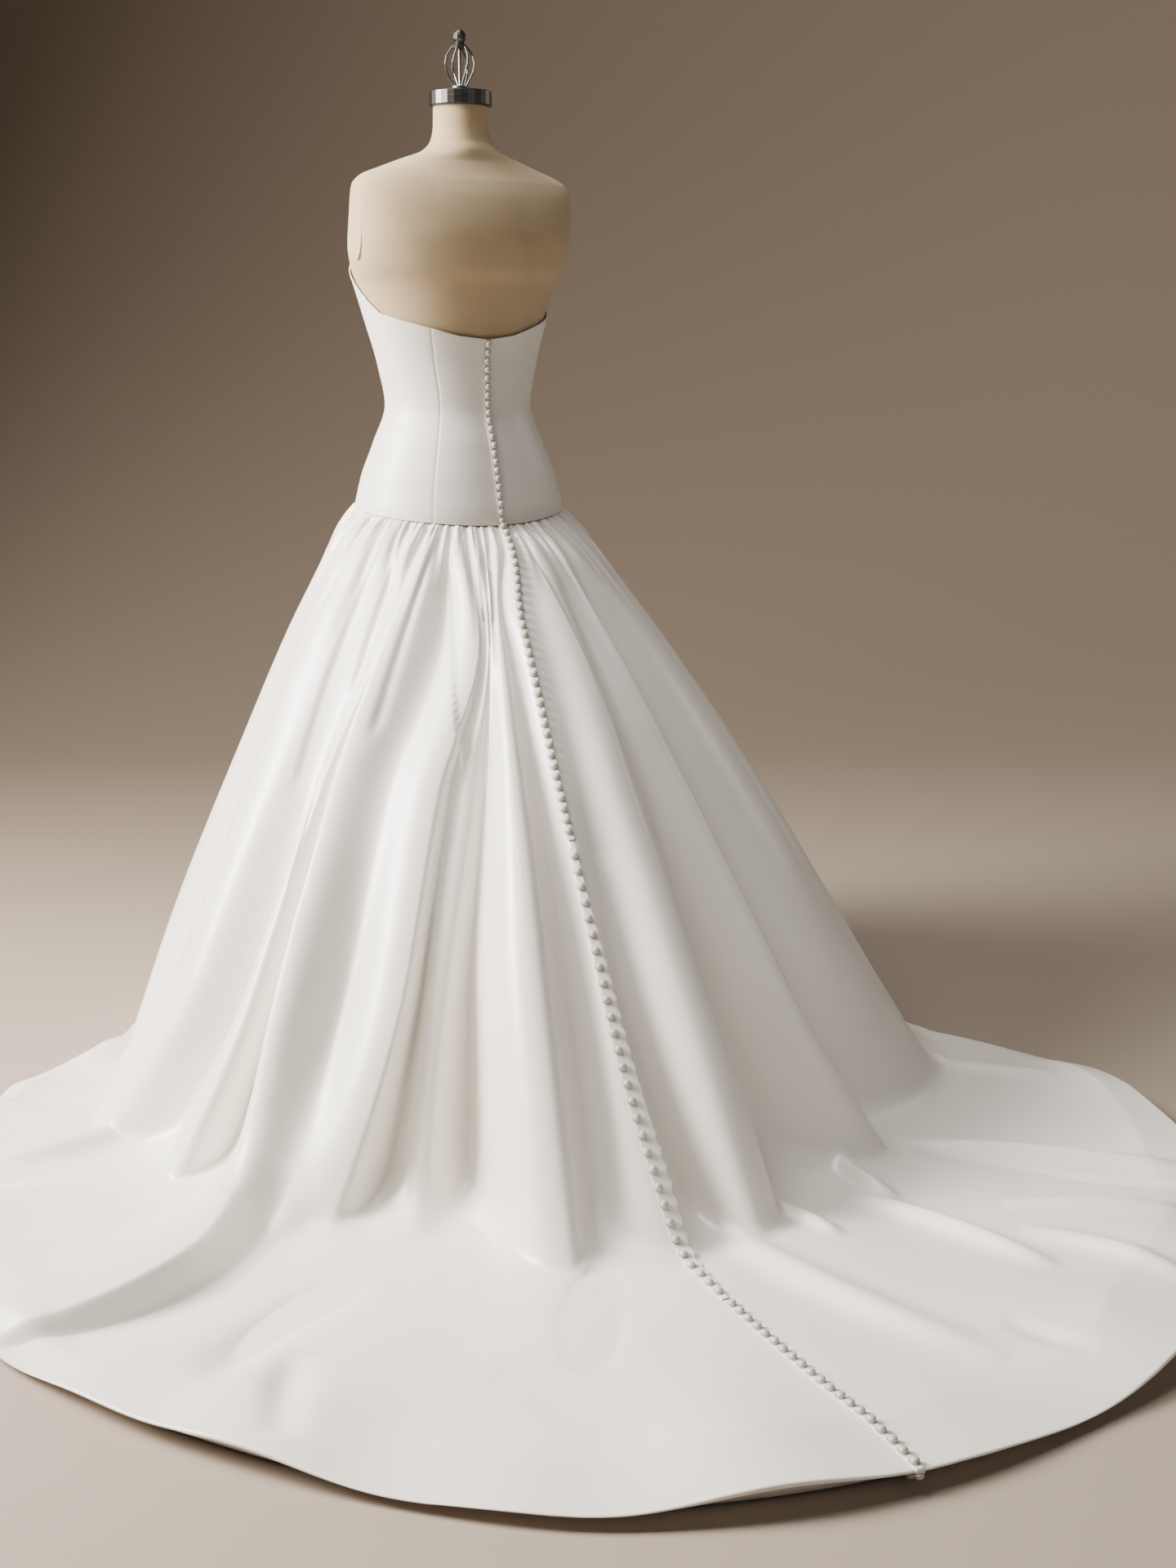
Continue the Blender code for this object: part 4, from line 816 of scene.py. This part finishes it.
def mesh_object(name, points, faces, material, smooth=True):
    mesh = bpy.data.meshes.new(name)
    mesh.from_pydata([tuple(point) for point in points], [], [tuple(face) for face in faces])
    mesh.materials.append(material)
    mesh.polygons.foreach_set("use_smooth", np.full(len(mesh.polygons), smooth))
    mesh.update()
    made = bpy.data.objects.new(name, mesh)
    bpy.context.scene.collection.objects.link(made)
    return made


def outward(made):
    """Turn all faces of a closed mesh outward."""
    work = bmesh.new()
    work.from_mesh(made.data)
    bmesh.ops.recalc_face_normals(work, faces=work.faces)
    work.to_mesh(made.data)
    work.free()


# Materials

def node_group(name, inputs, outputs):
    """An empty shader group with named sockets, with its two ends."""
    group = bpy.data.node_groups.new(name, "ShaderNodeTree")
    for label, kind, value in inputs:
        socket = group.interface.new_socket(label, in_out="INPUT", socket_type=kind)
        socket.default_value = value
    for label, kind in outputs:
        group.interface.new_socket(label, in_out="OUTPUT", socket_type=kind)
    start = group.nodes.new("NodeGroupInput")
    end = group.nodes.new("NodeGroupOutput")
    return group, start, end


def set_inputs(node, values):
    """Set some of a node's inputs, by their labels."""
    for label, value in values.items():
        node.inputs[label].default_value = value
    return node


def bump(nodes, links, height, strength, distance, normal=None):
    """Normal of a surface that a height lifts."""
    made = set_inputs(nodes.new("ShaderNodeBump"), {"Strength": strength, "Distance": distance})
    links.new(height, made.inputs["Height"])
    if normal is not None:
        links.new(normal, made.inputs["Normal"])
    return made.outputs["Normal"]


def noise(nodes, links, place, values):
    """Soft noise at a place, as a value."""
    made = set_inputs(nodes.new("ShaderNodeTexNoise"), values)
    links.new(place, made.inputs["Vector"])
    return made


def vary_roughness(nodes, links, value, low, high, shader):
    """Let a value move the surface between two roughnesses."""
    rough = set_inputs(nodes.new("ShaderNodeMapRange"), {"To Min": low, "To Max": high})
    links.new(value, rough.inputs["Value"])
    links.new(rough.outputs["Result"], shader.inputs["Roughness"])


def weave_group():
    """Fine threads over and under, as a height, with a slow drift of tone."""
    found = bpy.data.node_groups.get("cloth_weave")
    if found:
        return found
    group, start, end = node_group(
        "cloth_weave",
        (("Threads", "NodeSocketFloat", 1500.0), ("Drift", "NodeSocketFloat", 6.0)),
        (("Height", "NodeSocketFloat"), ("Tone", "NodeSocketFloat")))
    nodes, links = group.nodes, group.links
    place = nodes.new("ShaderNodeTexCoord")
    waves = []
    for axis in ("X", "Y", "Z"):
        wave = set_inputs(nodes.new("ShaderNodeTexWave"),
                          {"Distortion": 0.6, "Detail": 1.0, "Detail Scale": 2.0})
        wave.wave_type = "BANDS"
        wave.bands_direction = axis
        wave.wave_profile = "SIN"
        links.new(place.outputs["Object"], wave.inputs["Vector"])
        links.new(start.outputs["Threads"], wave.inputs["Scale"])
        waves.append(wave.outputs["Fac"])
    height = waves[0]
    for wave in waves[1:]:
        added = nodes.new("ShaderNodeMath")
        added.operation = "ADD"
        links.new(height, added.inputs[0])
        links.new(wave, added.inputs[1])
        height = added.outputs[0]
    links.new(height, end.inputs["Height"])
    drift = noise(nodes, links, place.outputs["Object"], {"Detail": 3.0, "Roughness": 0.55})
    links.new(start.outputs["Drift"], drift.inputs["Scale"])
    links.new(drift.outputs["Fac"], end.inputs["Tone"])
    return group


def shader_material(name, roughness, metallic=0.0):
    made = bpy.data.materials.new(name)
    made.use_nodes = True
    shader = set_inputs(made.node_tree.nodes["Principled BSDF"],
                        {"Roughness": roughness, "Metallic": metallic})
    return made, made.node_tree.nodes, made.node_tree.links, shader


def two_tones(nodes, links, value, low, high, span=(0.35, 0.65)):
    """Colour between two tones by a value."""
    ramp = nodes.new("ShaderNodeValToRGB")
    ramp.color_ramp.elements[0].position = span[0]
    ramp.color_ramp.elements[1].position = span[1]
    ramp.color_ramp.elements[0].color = (*low, 1)
    ramp.color_ramp.elements[1].color = (*high, 1)
    links.new(value, ramp.inputs["Fac"])
    return ramp.outputs["Color"]


def scaled(colour, share):
    return tuple(min(part * share, 1.0) for part in colour)


def satin_material(name, share=1.0, roughness=0.35, creasing=0.06):
    """Ivory satin at a share of its colour, with its own sheen and creasing. A share below 1 is
    painted shade.
    """
    found = bpy.data.materials.get(name)
    if found:
        return found
    made, nodes, links, shader = shader_material(name, roughness)
    weave = nodes.new("ShaderNodeGroup")
    weave.node_tree = weave_group()
    set_inputs(weave, {"Threads": 900.0, "Drift": 3.0})
    # a share below 1 darkens this copy of the satin as painted shade
    tone = scaled(colours().satin, share)
    links.new(two_tones(nodes, links, weave.outputs["Tone"], scaled(tone, 0.97), tone),
              shader.inputs["Base Color"])
    place = nodes.new("ShaderNodeTexCoord")
    soft = noise(nodes, links, place.outputs["Object"], {"Scale": 16.0, "Detail": 2.0})
    crumple = bump(nodes, links, soft.outputs["Fac"], creasing, 0.01)
    thread = bump(nodes, links, weave.outputs["Height"], 0.05, 0.0003, crumple)
    links.new(thread, shader.inputs["Normal"])
    set_inputs(shader, {"Specular IOR Level": 0.8, "Coat Weight": 0.12, "Coat Roughness": 0.30})
    vary_roughness(nodes, links, weave.outputs["Tone"], roughness - 0.05, roughness + 0.05, shader)
    return made


def linen_material():
    """Beige linen of the form's cover."""
    found = bpy.data.materials.get("beige_linen")
    if found:
        return found
    made, nodes, links, shader = shader_material("beige_linen", 0.86)
    weave = nodes.new("ShaderNodeGroup")
    weave.node_tree = weave_group()
    set_inputs(weave, {"Threads": 420.0, "Drift": 9.0})
    tone = colours().linen
    links.new(two_tones(nodes, links, weave.outputs["Tone"], scaled(tone, 0.90),
                        scaled(tone, 1.06)), shader.inputs["Base Color"])
    thread = bump(nodes, links, weave.outputs["Height"], 0.25, 0.0004)
    links.new(thread, shader.inputs["Normal"])
    shader.inputs["Sheen Weight"].default_value = 0.15
    return made


def steel_material():
    """Steel brushed round the wires, the cap and the pole."""
    found = bpy.data.materials.get("brushed_steel")
    if found:
        return found
    made, nodes, links, shader = shader_material("brushed_steel", 0.34, 1.0)
    place = nodes.new("ShaderNodeTexCoord")
    stretch = nodes.new("ShaderNodeMapping")
    stretch.inputs["Scale"].default_value = (40.0, 40.0, 900.0)
    links.new(place.outputs["Object"], stretch.inputs["Vector"])
    brush = noise(nodes, links, stretch.outputs["Vector"], {"Scale": 1.0, "Detail": 3.0})
    tone = colours().steel
    links.new(two_tones(nodes, links, brush.outputs["Fac"], scaled(tone, 0.82),
                        scaled(tone, 1.12)), shader.inputs["Base Color"])
    vary_roughness(nodes, links, brush.outputs["Fac"], 0.28, 0.42, shader)
    links.new(bump(nodes, links, brush.outputs["Fac"], 0.12, 0.0003), shader.inputs["Normal"])
    return made


def stage_material():
    """Seamless paper with painted light: pale where the light pools round the dress, fading to
    painted shade, darker and warmer, up the backdrop.
    """
    made, nodes, links, shader = shader_material("studio_paper", 0.85)
    look, right = camera_axes()
    place = nodes.new("ShaderNodeTexCoord")
    # painted light falloff: the colour fades from the floor tone to the backdrop tone further along
    # the view, and painted shade darkens it toward the camera's left
    depth = nodes.new("ShaderNodeVectorMath")
    depth.operation = "DOT_PRODUCT"
    depth.inputs[1].default_value = look - right * 0.35
    links.new(place.outputs["Object"], depth.inputs[0])
    span = set_inputs(nodes.new("ShaderNodeMapRange"), {"From Min": -0.6, "From Max": 2.5})
    span.interpolation_type = "SMOOTHSTEP"
    links.new(depth.outputs["Value"], span.inputs["Value"])
    links.new(two_tones(nodes, links, span.outputs["Result"], colours().floor,
                        colours().wall, (0.0, 1.0)), shader.inputs["Base Color"])
    shader.inputs["Specular IOR Level"].default_value = 0.15
    # the paper is clear from behind, so that the front of the dress can be seen
    side = nodes.new("ShaderNodeNewGeometry")
    clear = nodes.new("ShaderNodeBsdfTransparent")
    mix = nodes.new("ShaderNodeMixShader")
    links.new(side.outputs["Backfacing"], mix.inputs["Fac"])
    links.new(shader.outputs["BSDF"], mix.inputs[1])
    links.new(clear.outputs["BSDF"], mix.inputs[2])
    output = next(node for node in nodes if node.type == "OUTPUT_MATERIAL")
    links.new(mix.outputs["Shader"], output.inputs["Surface"])
    return made


# Pieces

def top_height(angle):
    """Height of the bodice's top edge, the same on both sides."""
    folded = np.abs((np.asarray(angle, float) + 180) % 360 - 180)
    return np.interp(folded, column(TOP_EDGE, "angle"), column(TOP_EDGE, "z"))


def bodice_sheet(start, end, across, down):
    """Outside points of one bodice panel, row by row from its top edge."""
    angles = np.linspace(start, end, across)
    flat = figure_points(angles, SEAM_SECTION_Z)
    polar = np.degrees(np.arctan2(flat[:, 0], flat[:, 1]))
    bottom = seam_height(polar) + SEAM_GAP
    top = top_height(angles)
    share = np.linspace(0, 1, down)[:, None]
    return figure_points(angles[None, :], top + (bottom - top) * share)


def build_bodice():
    """Seven boned panels, each with a groove at its seams and a stitched top."""
    satin = satin_material("ivory_satin_bodice", 1.0, 0.46, 0.03)
    down = BODICE_ROWS
    middle = BODICE_COLUMNS // 2
    for panel in BODICE_PANELS:
        grid = bodice_sheet(panel.start, panel.end, BODICE_COLUMNS, down)
        normals = surface_normals(grid)
        # each seam is a shallow groove, sewn flat
        width = np.linalg.norm(np.diff(grid, axis=1), axis=2)
        arc = np.concatenate([np.zeros((down, 1)), np.cumsum(width, axis=1)], axis=1)
        edge = np.minimum(arc, arc[:, -1:] - arc)
        groove = near_share(edge, SEAM_GROOVE[0]) * SEAM_GROOVE[1]
        drop = np.linspace(0, 1, down)[:, None] * np.ones((1, BODICE_COLUMNS))
        from_top = drop * np.linalg.norm(grid[0, middle] - grid[-1, middle])
        groove = groove + near_share(from_top, SEAM_GROOVE[0]) * SEAM_GROOVE[1]
        groove = groove + near_share(from_top - STITCH_PLACE, STITCH_GROOVE[0]) * STITCH_GROOVE[1]
        outer = grid - normals * groove[:, :, None]
        made = thin_shell(panel.name + "_cloth", outer, surface_normals(outer),
                          sizes().bodice_cloth, satin)
        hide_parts(panel.name)
        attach(made, "root")


def panel_columns(fold, span):
    """Column numbers of one panel in the whole grid."""
    turned = span % len(FOLDS)
    found = np.searchsorted(fold, turned - SAME_PLACE)
    if span[-1] % len(FOLDS) < span[0] % len(FOLDS) or span[-1] >= len(FOLDS):
        found = np.where(span >= len(FOLDS) - SAME_PLACE, found + len(fold) - 1, found)
    return found


def build_skirt():
    """Five gathered panels of the skirt and train. Gives the grid they come from."""
    fold, rows, grid, normals = dress_grid()
    satin = satin_material("ivory_satin")
    wide_grid = np.concatenate([grid, grid[:, 1:]], axis=1)
    wide_normals = np.concatenate([normals, normals[:, 1:]], axis=1)
    for panel, span in zip(SKIRT_PANELS, fold_spans()):
        picked = panel_columns(fold, span)
        kept = np.arange(0, len(rows), panel.keep)
        if kept[-1] != len(rows) - 1:
            kept = np.append(kept, len(rows) - 1)
        outer = wide_grid[kept][:, picked]
        lines = wide_normals[kept][:, picked]
        made = thin_shell(panel.name + "_cloth", outer, lines, sizes().cloth, satin)
        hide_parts(panel.name)
        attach(made, "root")
    return fold, rows, grid, normals


def along_line(line, normals, pitch, first, last_gap):
    """Even places along a line, each with its normal and direction."""
    steps = np.linalg.norm(np.diff(line, axis=0), axis=1)
    length = np.concatenate([[0], np.cumsum(steps)])
    count = int((length[-1] - first - last_gap) / pitch) + 1
    places = []
    for number in range(count):
        spot = first + number * pitch
        cell = min(max(int(np.searchsorted(length, spot) - 1), 0), len(line) - 2)
        share = (spot - length[cell]) / steps[cell]
        point = line[cell] * (1 - share) + line[cell + 1] * share
        normal = normals[cell] * (1 - share) + normals[cell + 1] * share
        places.append((point, normal, line[cell + 1] - line[cell]))
    return places


def button_mesh(place, normal, along, radius, height, number):
    """One round covered button: points and faces."""
    forward = Vector(along).normalized()
    side = Vector(normal).cross(forward).normalized()
    up = forward.cross(side)
    place = Vector(place)
    tilt = BUTTON_TILT * math.sin(number * 2.7)
    up = (up + side * tilt).normalized()
    sides = BUTTON_SIDES
    points = []
    faces = []
    for size, rise in BUTTON_PROFILE:
        for step in range(sides):
            turn = 2 * math.pi * step / sides
            pucker = 1 + BUTTON_PUCKER * math.cos(3 * turn + number) * (1 - rise)
            reach = radius * size * pucker
            points.append(place + side * reach * math.cos(turn)
                          + forward * reach * math.sin(turn) + up * rise * height)
    points.append(place + up * height)
    last = len(BUTTON_PROFILE) - 1
    for ring in range(last):
        for step in range(sides):
            after = (step + 1) % sides
            faces.append((ring * sides + step, ring * sides + after,
                          (ring + 1) * sides + after, (ring + 1) * sides + step))
    for step in range(sides):
        after = (step + 1) % sides
        faces.append((last * sides + step, last * sides + after, len(points) - 1))
    faces.append(tuple(range(sides))[::-1])
    return points, faces


def loop_mesh(place, normal, along, radius):
    """Thin cord loop that goes round one button to the placket's edge."""
    forward = Vector(along).normalized()
    side = Vector(normal).cross(forward).normalized()
    up = forward.cross(side)
    place = Vector(place)
    points = []
    faces = []
    path = []
    thick = LOOP_HALF_THICK
    sides = LOOP_SIDES
    reach = radius * LOOP_REACH
    for step in range(LOOP_STEPS + 1):
        turn = math.radians(-150 + 300 * step / LOOP_STEPS)
        path.append(place + side * (-reach * math.cos(turn) - LOOP_ASIDE)
                    + forward * reach * math.sin(turn) * 0.95 + up * LOOP_SEAT)
    for spot, point in enumerate(path):
        ahead = path[min(spot + 1, len(path) - 1)] - path[max(spot - 1, 0)]
        ahead.normalize()
        across = ahead.cross(up).normalized()
        for corner in range(sides):
            turn = 2 * math.pi * corner / sides
            points.append(point + across * thick * math.cos(turn) + up * thick * math.sin(turn))
    for spot in range(len(path) - 1):
        for corner in range(sides):
            after = (corner + 1) % sides
            faces.append((spot * sides + corner, spot * sides + after,
                          (spot + 1) * sides + after, (spot + 1) * sides + corner))
    faces.append(tuple(range(sides))[::-1])
    faces.append(tuple(range(len(points) - sides, len(points))))
    return points, faces


def strip_sheet(middle, side, up, half, scallop, pitch, first, flap):
    """Outer points of the strip that carries the buttons."""
    steps = np.linalg.norm(np.diff(middle, axis=0), axis=1)
    length = np.concatenate([[0], np.cumsum(steps)])
    wave = np.cos(2 * math.pi * (length - first) / pitch)
    swell = np.sin(math.pi * (length / length[-1]) ** 1.6) ** 0.8
    wide = 1 + (flap - 1) * swell
    grid = np.zeros((len(middle), len(STRIP_PROFILE), 3))
    for spot, (share, lift) in enumerate(STRIP_PROFILE):
        reach = half * share
        if share > 0:
            reach = reach * (1 + scallop * wave * share) * wide
        grid[:, spot] = middle + side * np.reshape(reach * np.ones(len(middle)), (-1, 1)) + up * lift
    return grid


def place_strip(name, middle, side, up, pitch, first, last_gap, flap):
    """A strip of satin with its covered buttons and loops."""
    # painted shade: the strip is the skirt's satin darkened to 0.93 of its colour, for the shade
    # along the seam
    trim = satin_material("ivory_satin_trim", 0.93, 0.5, 0.02)
    half = sizes().strip_half
    grid = strip_sheet(middle, -side, up, half, STRIP_SCALLOP, pitch, first, flap)[:, ::-1]
    strip = thin_shell(name + "_strip", grid, surface_normals(grid), STRIP_THICK, trim)
    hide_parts(name)
    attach(strip, "root")
    line = middle + up * BUTTON_SEAT
    points = []
    faces = []
    for number, (place, normal, along) in enumerate(along_line(line, up, pitch, first, last_gap)):
        for more, more_faces in (
                button_mesh(place, normal, along, sizes().button_radius,
                            sizes().button_height, number),
                loop_mesh(place, normal, along, sizes().button_radius)):
            start = len(points)
            points += more
            faces += [tuple(start + corner for corner in face) for face in more_faces]
    # painted shade: the covered buttons and their loops are the same satin darkened to 0.60 of its
    # colour, for the shade round them
    covered = satin_material("ivory_satin_buttons", 0.60, 0.30, 0.0)
    buttons = mesh_object(name + "_buttons", points, faces, covered)
    outward(buttons)
    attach(buttons, "root")


def build_plackets(skirt):
    """Strips and buttons down centre back, on the skirt's grid and on the bodice."""
    fold, rows, grid, normals = skirt
    names = [row.name for row in FOLDS]
    spot = int(np.argmin(np.abs(fold - names.index("centre_back"))))
    line = grid[:, spot]
    around = grid[:, spot + 1] - grid[:, spot - 1]
    up = normals[:, spot]
    down = np.gradient(line, axis=0)
    side = np.cross(down, up)
    side /= np.linalg.norm(side, axis=1)[:, None]
    side *= np.sign(np.sum(side * around, axis=1))[:, None]
    for number, stretch in enumerate(STRIP_STRETCHES):
        picked = (rows >= stretch.first - SAME_PLACE) & (rows <= stretch.last + SAME_PLACE)
        middle = line[picked]
        first = FIRST_SKIRT_BUTTON if number == 0 else stretch.pitch / 2
        place_strip(stretch.name, middle, side[picked], up[picked], stretch.pitch,
                    first, LAST_SKIRT_GAP, stretch.flap)
    # nine columns within 4 degrees of centre back, so that column 4 is the middle
    sheet = bodice_sheet(-4, 4, 9, BODICE_ROWS)
    line = sheet[:, 4]
    up = surface_normals(sheet)[:, 4]
    side = sheet[:, 5] - sheet[:, 3]
    side /= np.linalg.norm(side, axis=1)[:, None]
    place_strip("placket_bodice", line, side, up, BODICE_PITCH, FIRST_BODICE_BUTTON,
                LAST_BODICE_GAP, 1.0)


def build_form():
    """Linen of the torso in rings from the neck down, and of both arm plates."""
    linen = linen_material()
    angles = np.arange(LINEN_SIDES + 1) * 360 / LINEN_SIDES
    levels = np.concatenate([np.linspace(FORM_BOTTOM_Z, 1.37, 76, endpoint=False),
                             np.linspace(1.37, NECK_TOP_Z, 70)])
    # the linen comes up round the arm plates, which stand only 0.4 mm proud
    grid = figure_points(angles[None, :], levels[::-1, None], -FORM_EASE,
                         ARM_CUT_X + PLATE_COVER)
    under = grid[-1] * (UNDERSIDE_SHARE, UNDERSIDE_SHARE, 1.0)
    grid = np.concatenate([grid, under[None]])
    normals = surface_normals(np.concatenate([grid[:, -2:-1], grid, grid[:, 1:2]], axis=1))
    normals = normals[:, 1:-1]
    made = closed_round("form_torso_linen", grid[:, :-1], normals[:, :-1], linen)
    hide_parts("form_torso")
    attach(made, "root")
    for name in ("arm_plate_left", "arm_plate_right"):
        set_material(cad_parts[name], linen)


def build_hardware():
    for name in ("neck_cap_and_finial", "stand"):
        set_material(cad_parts[name], steel_material())


def set_material(node, material):
    for slot in node.material_slots:
        slot.material = material


# Stage, light and camera

def build_stage():
    """One sheet of paper: the floor, which sweeps up into the backdrop."""
    paper = stage_material()
    look, right = camera_axes()
    sweep = [(PAPER_NEAR, 0.0), (PAPER_BEND_START, 0.0)]
    for step in range(1, PAPER_BEND_STEPS + 1):
        bend = math.radians(90 * step / PAPER_BEND_STEPS)
        sweep.append((PAPER_BEND_START + PAPER_BEND_RADIUS * math.sin(bend),
                      PAPER_BEND_RADIUS * (1 - math.cos(bend))))
    sweep.append((PAPER_BEND_START + PAPER_BEND_RADIUS, PAPER_TOP))
    points = []
    for out, rise in sweep:
        for reach in (-PAPER_HALF_WIDTH, PAPER_HALF_WIDTH):
            points.append(look * out + right * reach + Vector((0, 0, rise)))
    faces = [(2 * i, 2 * i + 1, 2 * i + 3, 2 * i + 2) for i in range(len(sweep) - 1)]
    mesh_object("floor_and_backdrop", points, faces, paper)


def area_light(name, place, target, size, power, colour, spread=180):
    data = bpy.data.lights.new(name, "AREA")
    data.shape = "RECTANGLE"
    data.size, data.size_y = size
    data.energy = power
    data.color = colour
    data.spread = math.radians(spread)
    made = bpy.data.objects.new(name, data)
    bpy.context.scene.collection.objects.link(made)
    made.location = place
    aim = Vector(target) - Vector(place)
    made.rotation_euler = aim.to_track_quat("-Z", "Y").to_euler()
    return made


def camera_axes():
    """Level directions away from the camera and to its right."""
    turn = math.radians(CAMERA_TURN)
    look = Vector((-math.sin(turn), -math.cos(turn), 0))
    right = Vector((look.y, -look.x, 0))
    return look, right


def build_lights():
    """Softboxes round the dress, one on the backdrop and a dim room."""
    look, right = camera_axes()
    middle = Vector(DRESS_MIDDLE)
    for box in SOFTBOXES:
        place = middle + right * box.right + look * box.away + Vector((0, 0, box.up))
        area_light(box.name, place, middle, box.size, box.power, box.colour, box.spread)
    back = look * 1.6 + right * 3.4 + Vector((0, 0, 2.4))
    area_light("backdrop_light", back, look * 4.5 + right * 0.6 + Vector((0, 0, 2.0)),
               (1.2, 1.2), 44, (1.0, 0.94, 0.87))
    world = bpy.data.worlds.new("studio")
    bpy.context.scene.world = world
    world.use_nodes = True
    set_inputs(world.node_tree.nodes["Background"],
               {"Color": (0.95, 0.92, 0.88, 1), "Strength": 0.10})


def build_camera():
    data = bpy.data.cameras.new("photo_camera")
    data.lens = CAMERA_LENS
    data.sensor_width = 36
    data.sensor_fit = "AUTO"
    data.clip_end = 60
    made = bpy.data.objects.new("photo_camera", data)
    bpy.context.scene.collection.objects.link(made)
    made.location = CAMERA_PLACE
    look = camera_axes()[0]
    pitch = math.radians(CAMERA_PITCH)
    aim = look * math.cos(pitch) - Vector((0, 0, math.sin(pitch)))
    made.rotation_euler = aim.to_track_quat("-Z", "Y").to_euler()
    bpy.context.scene.camera = made


class DRESS_OT_stage(bpy.types.Operator):
    """Lay the floor, hang the backdrop, set the lights and the camera"""
    bl_idname = "dress.stage"
    bl_label = "Stage"

    def execute(self, context):
        build_stage()
        build_lights()
        build_camera()
        return {"FINISHED"}


class DRESS_OT_form(bpy.types.Operator):
    """Cover the dress form and its arm plates in linen"""
    bl_idname = "dress.form"
    bl_label = "Dress form"

    def execute(self, context):
        build_form()
        return {"FINISHED"}


class DRESS_OT_hardware(bpy.types.Operator):
    """Brush the steel of the finial and the stand"""
    bl_idname = "dress.hardware"
    bl_label = "Finial and stand"

    def execute(self, context):
        build_hardware()
        return {"FINISHED"}


class DRESS_OT_bodice(bpy.types.Operator):
    """Sew the bodice panels"""
    bl_idname = "dress.bodice"
    bl_label = "Bodice"

    def execute(self, context):
        build_bodice()
        return {"FINISHED"}


class DRESS_OT_skirt(bpy.types.Operator):
    """Gather the skirt, spread its train and close it with covered buttons"""
    bl_idname = "dress.skirt"
    bl_label = "Skirt, train and buttons"

    def execute(self, context):
        build_plackets(build_skirt())
        return {"FINISHED"}


class DRESS_PT_panel(bpy.types.Panel):
    """Steps that make the dress"""
    bl_idname = "DRESS_PT_panel"
    bl_label = "Wedding dress"
    bl_space_type = "VIEW_3D"
    bl_region_type = "UI"
    bl_category = "Dress"

    def draw(self, context):
        for step in STEPS:
            self.layout.operator(step)
        for name in ("dress_sizes", "dress_colours"):
            group = getattr(context.scene, name)
            for prop in group.bl_rna.properties:
                if not prop.is_readonly and prop.identifier != "name":
                    self.layout.prop(group, prop.identifier)


STEPS = ("dress.stage", "dress.form", "dress.hardware", "dress.bodice", "dress.skirt")
CLASSES = (DressSizes, DressColours, DRESS_OT_stage, DRESS_OT_form, DRESS_OT_hardware,
           DRESS_OT_bodice, DRESS_OT_skirt, DRESS_PT_panel)


def register():
    for made in CLASSES:
        bpy.utils.register_class(made)
    bpy.types.Scene.dress_sizes = bpy.props.PointerProperty(type=DressSizes)
    bpy.types.Scene.dress_colours = bpy.props.PointerProperty(type=DressColours)


def unregister():
    del bpy.types.Scene.dress_colours
    del bpy.types.Scene.dress_sizes
    for made in reversed(CLASSES):
        bpy.utils.unregister_class(made)


def main():
    register()
    for step in STEPS:
        family, name = step.split(".")
        getattr(getattr(bpy.ops, family), name)()


if __name__ == "__main__":
    main()
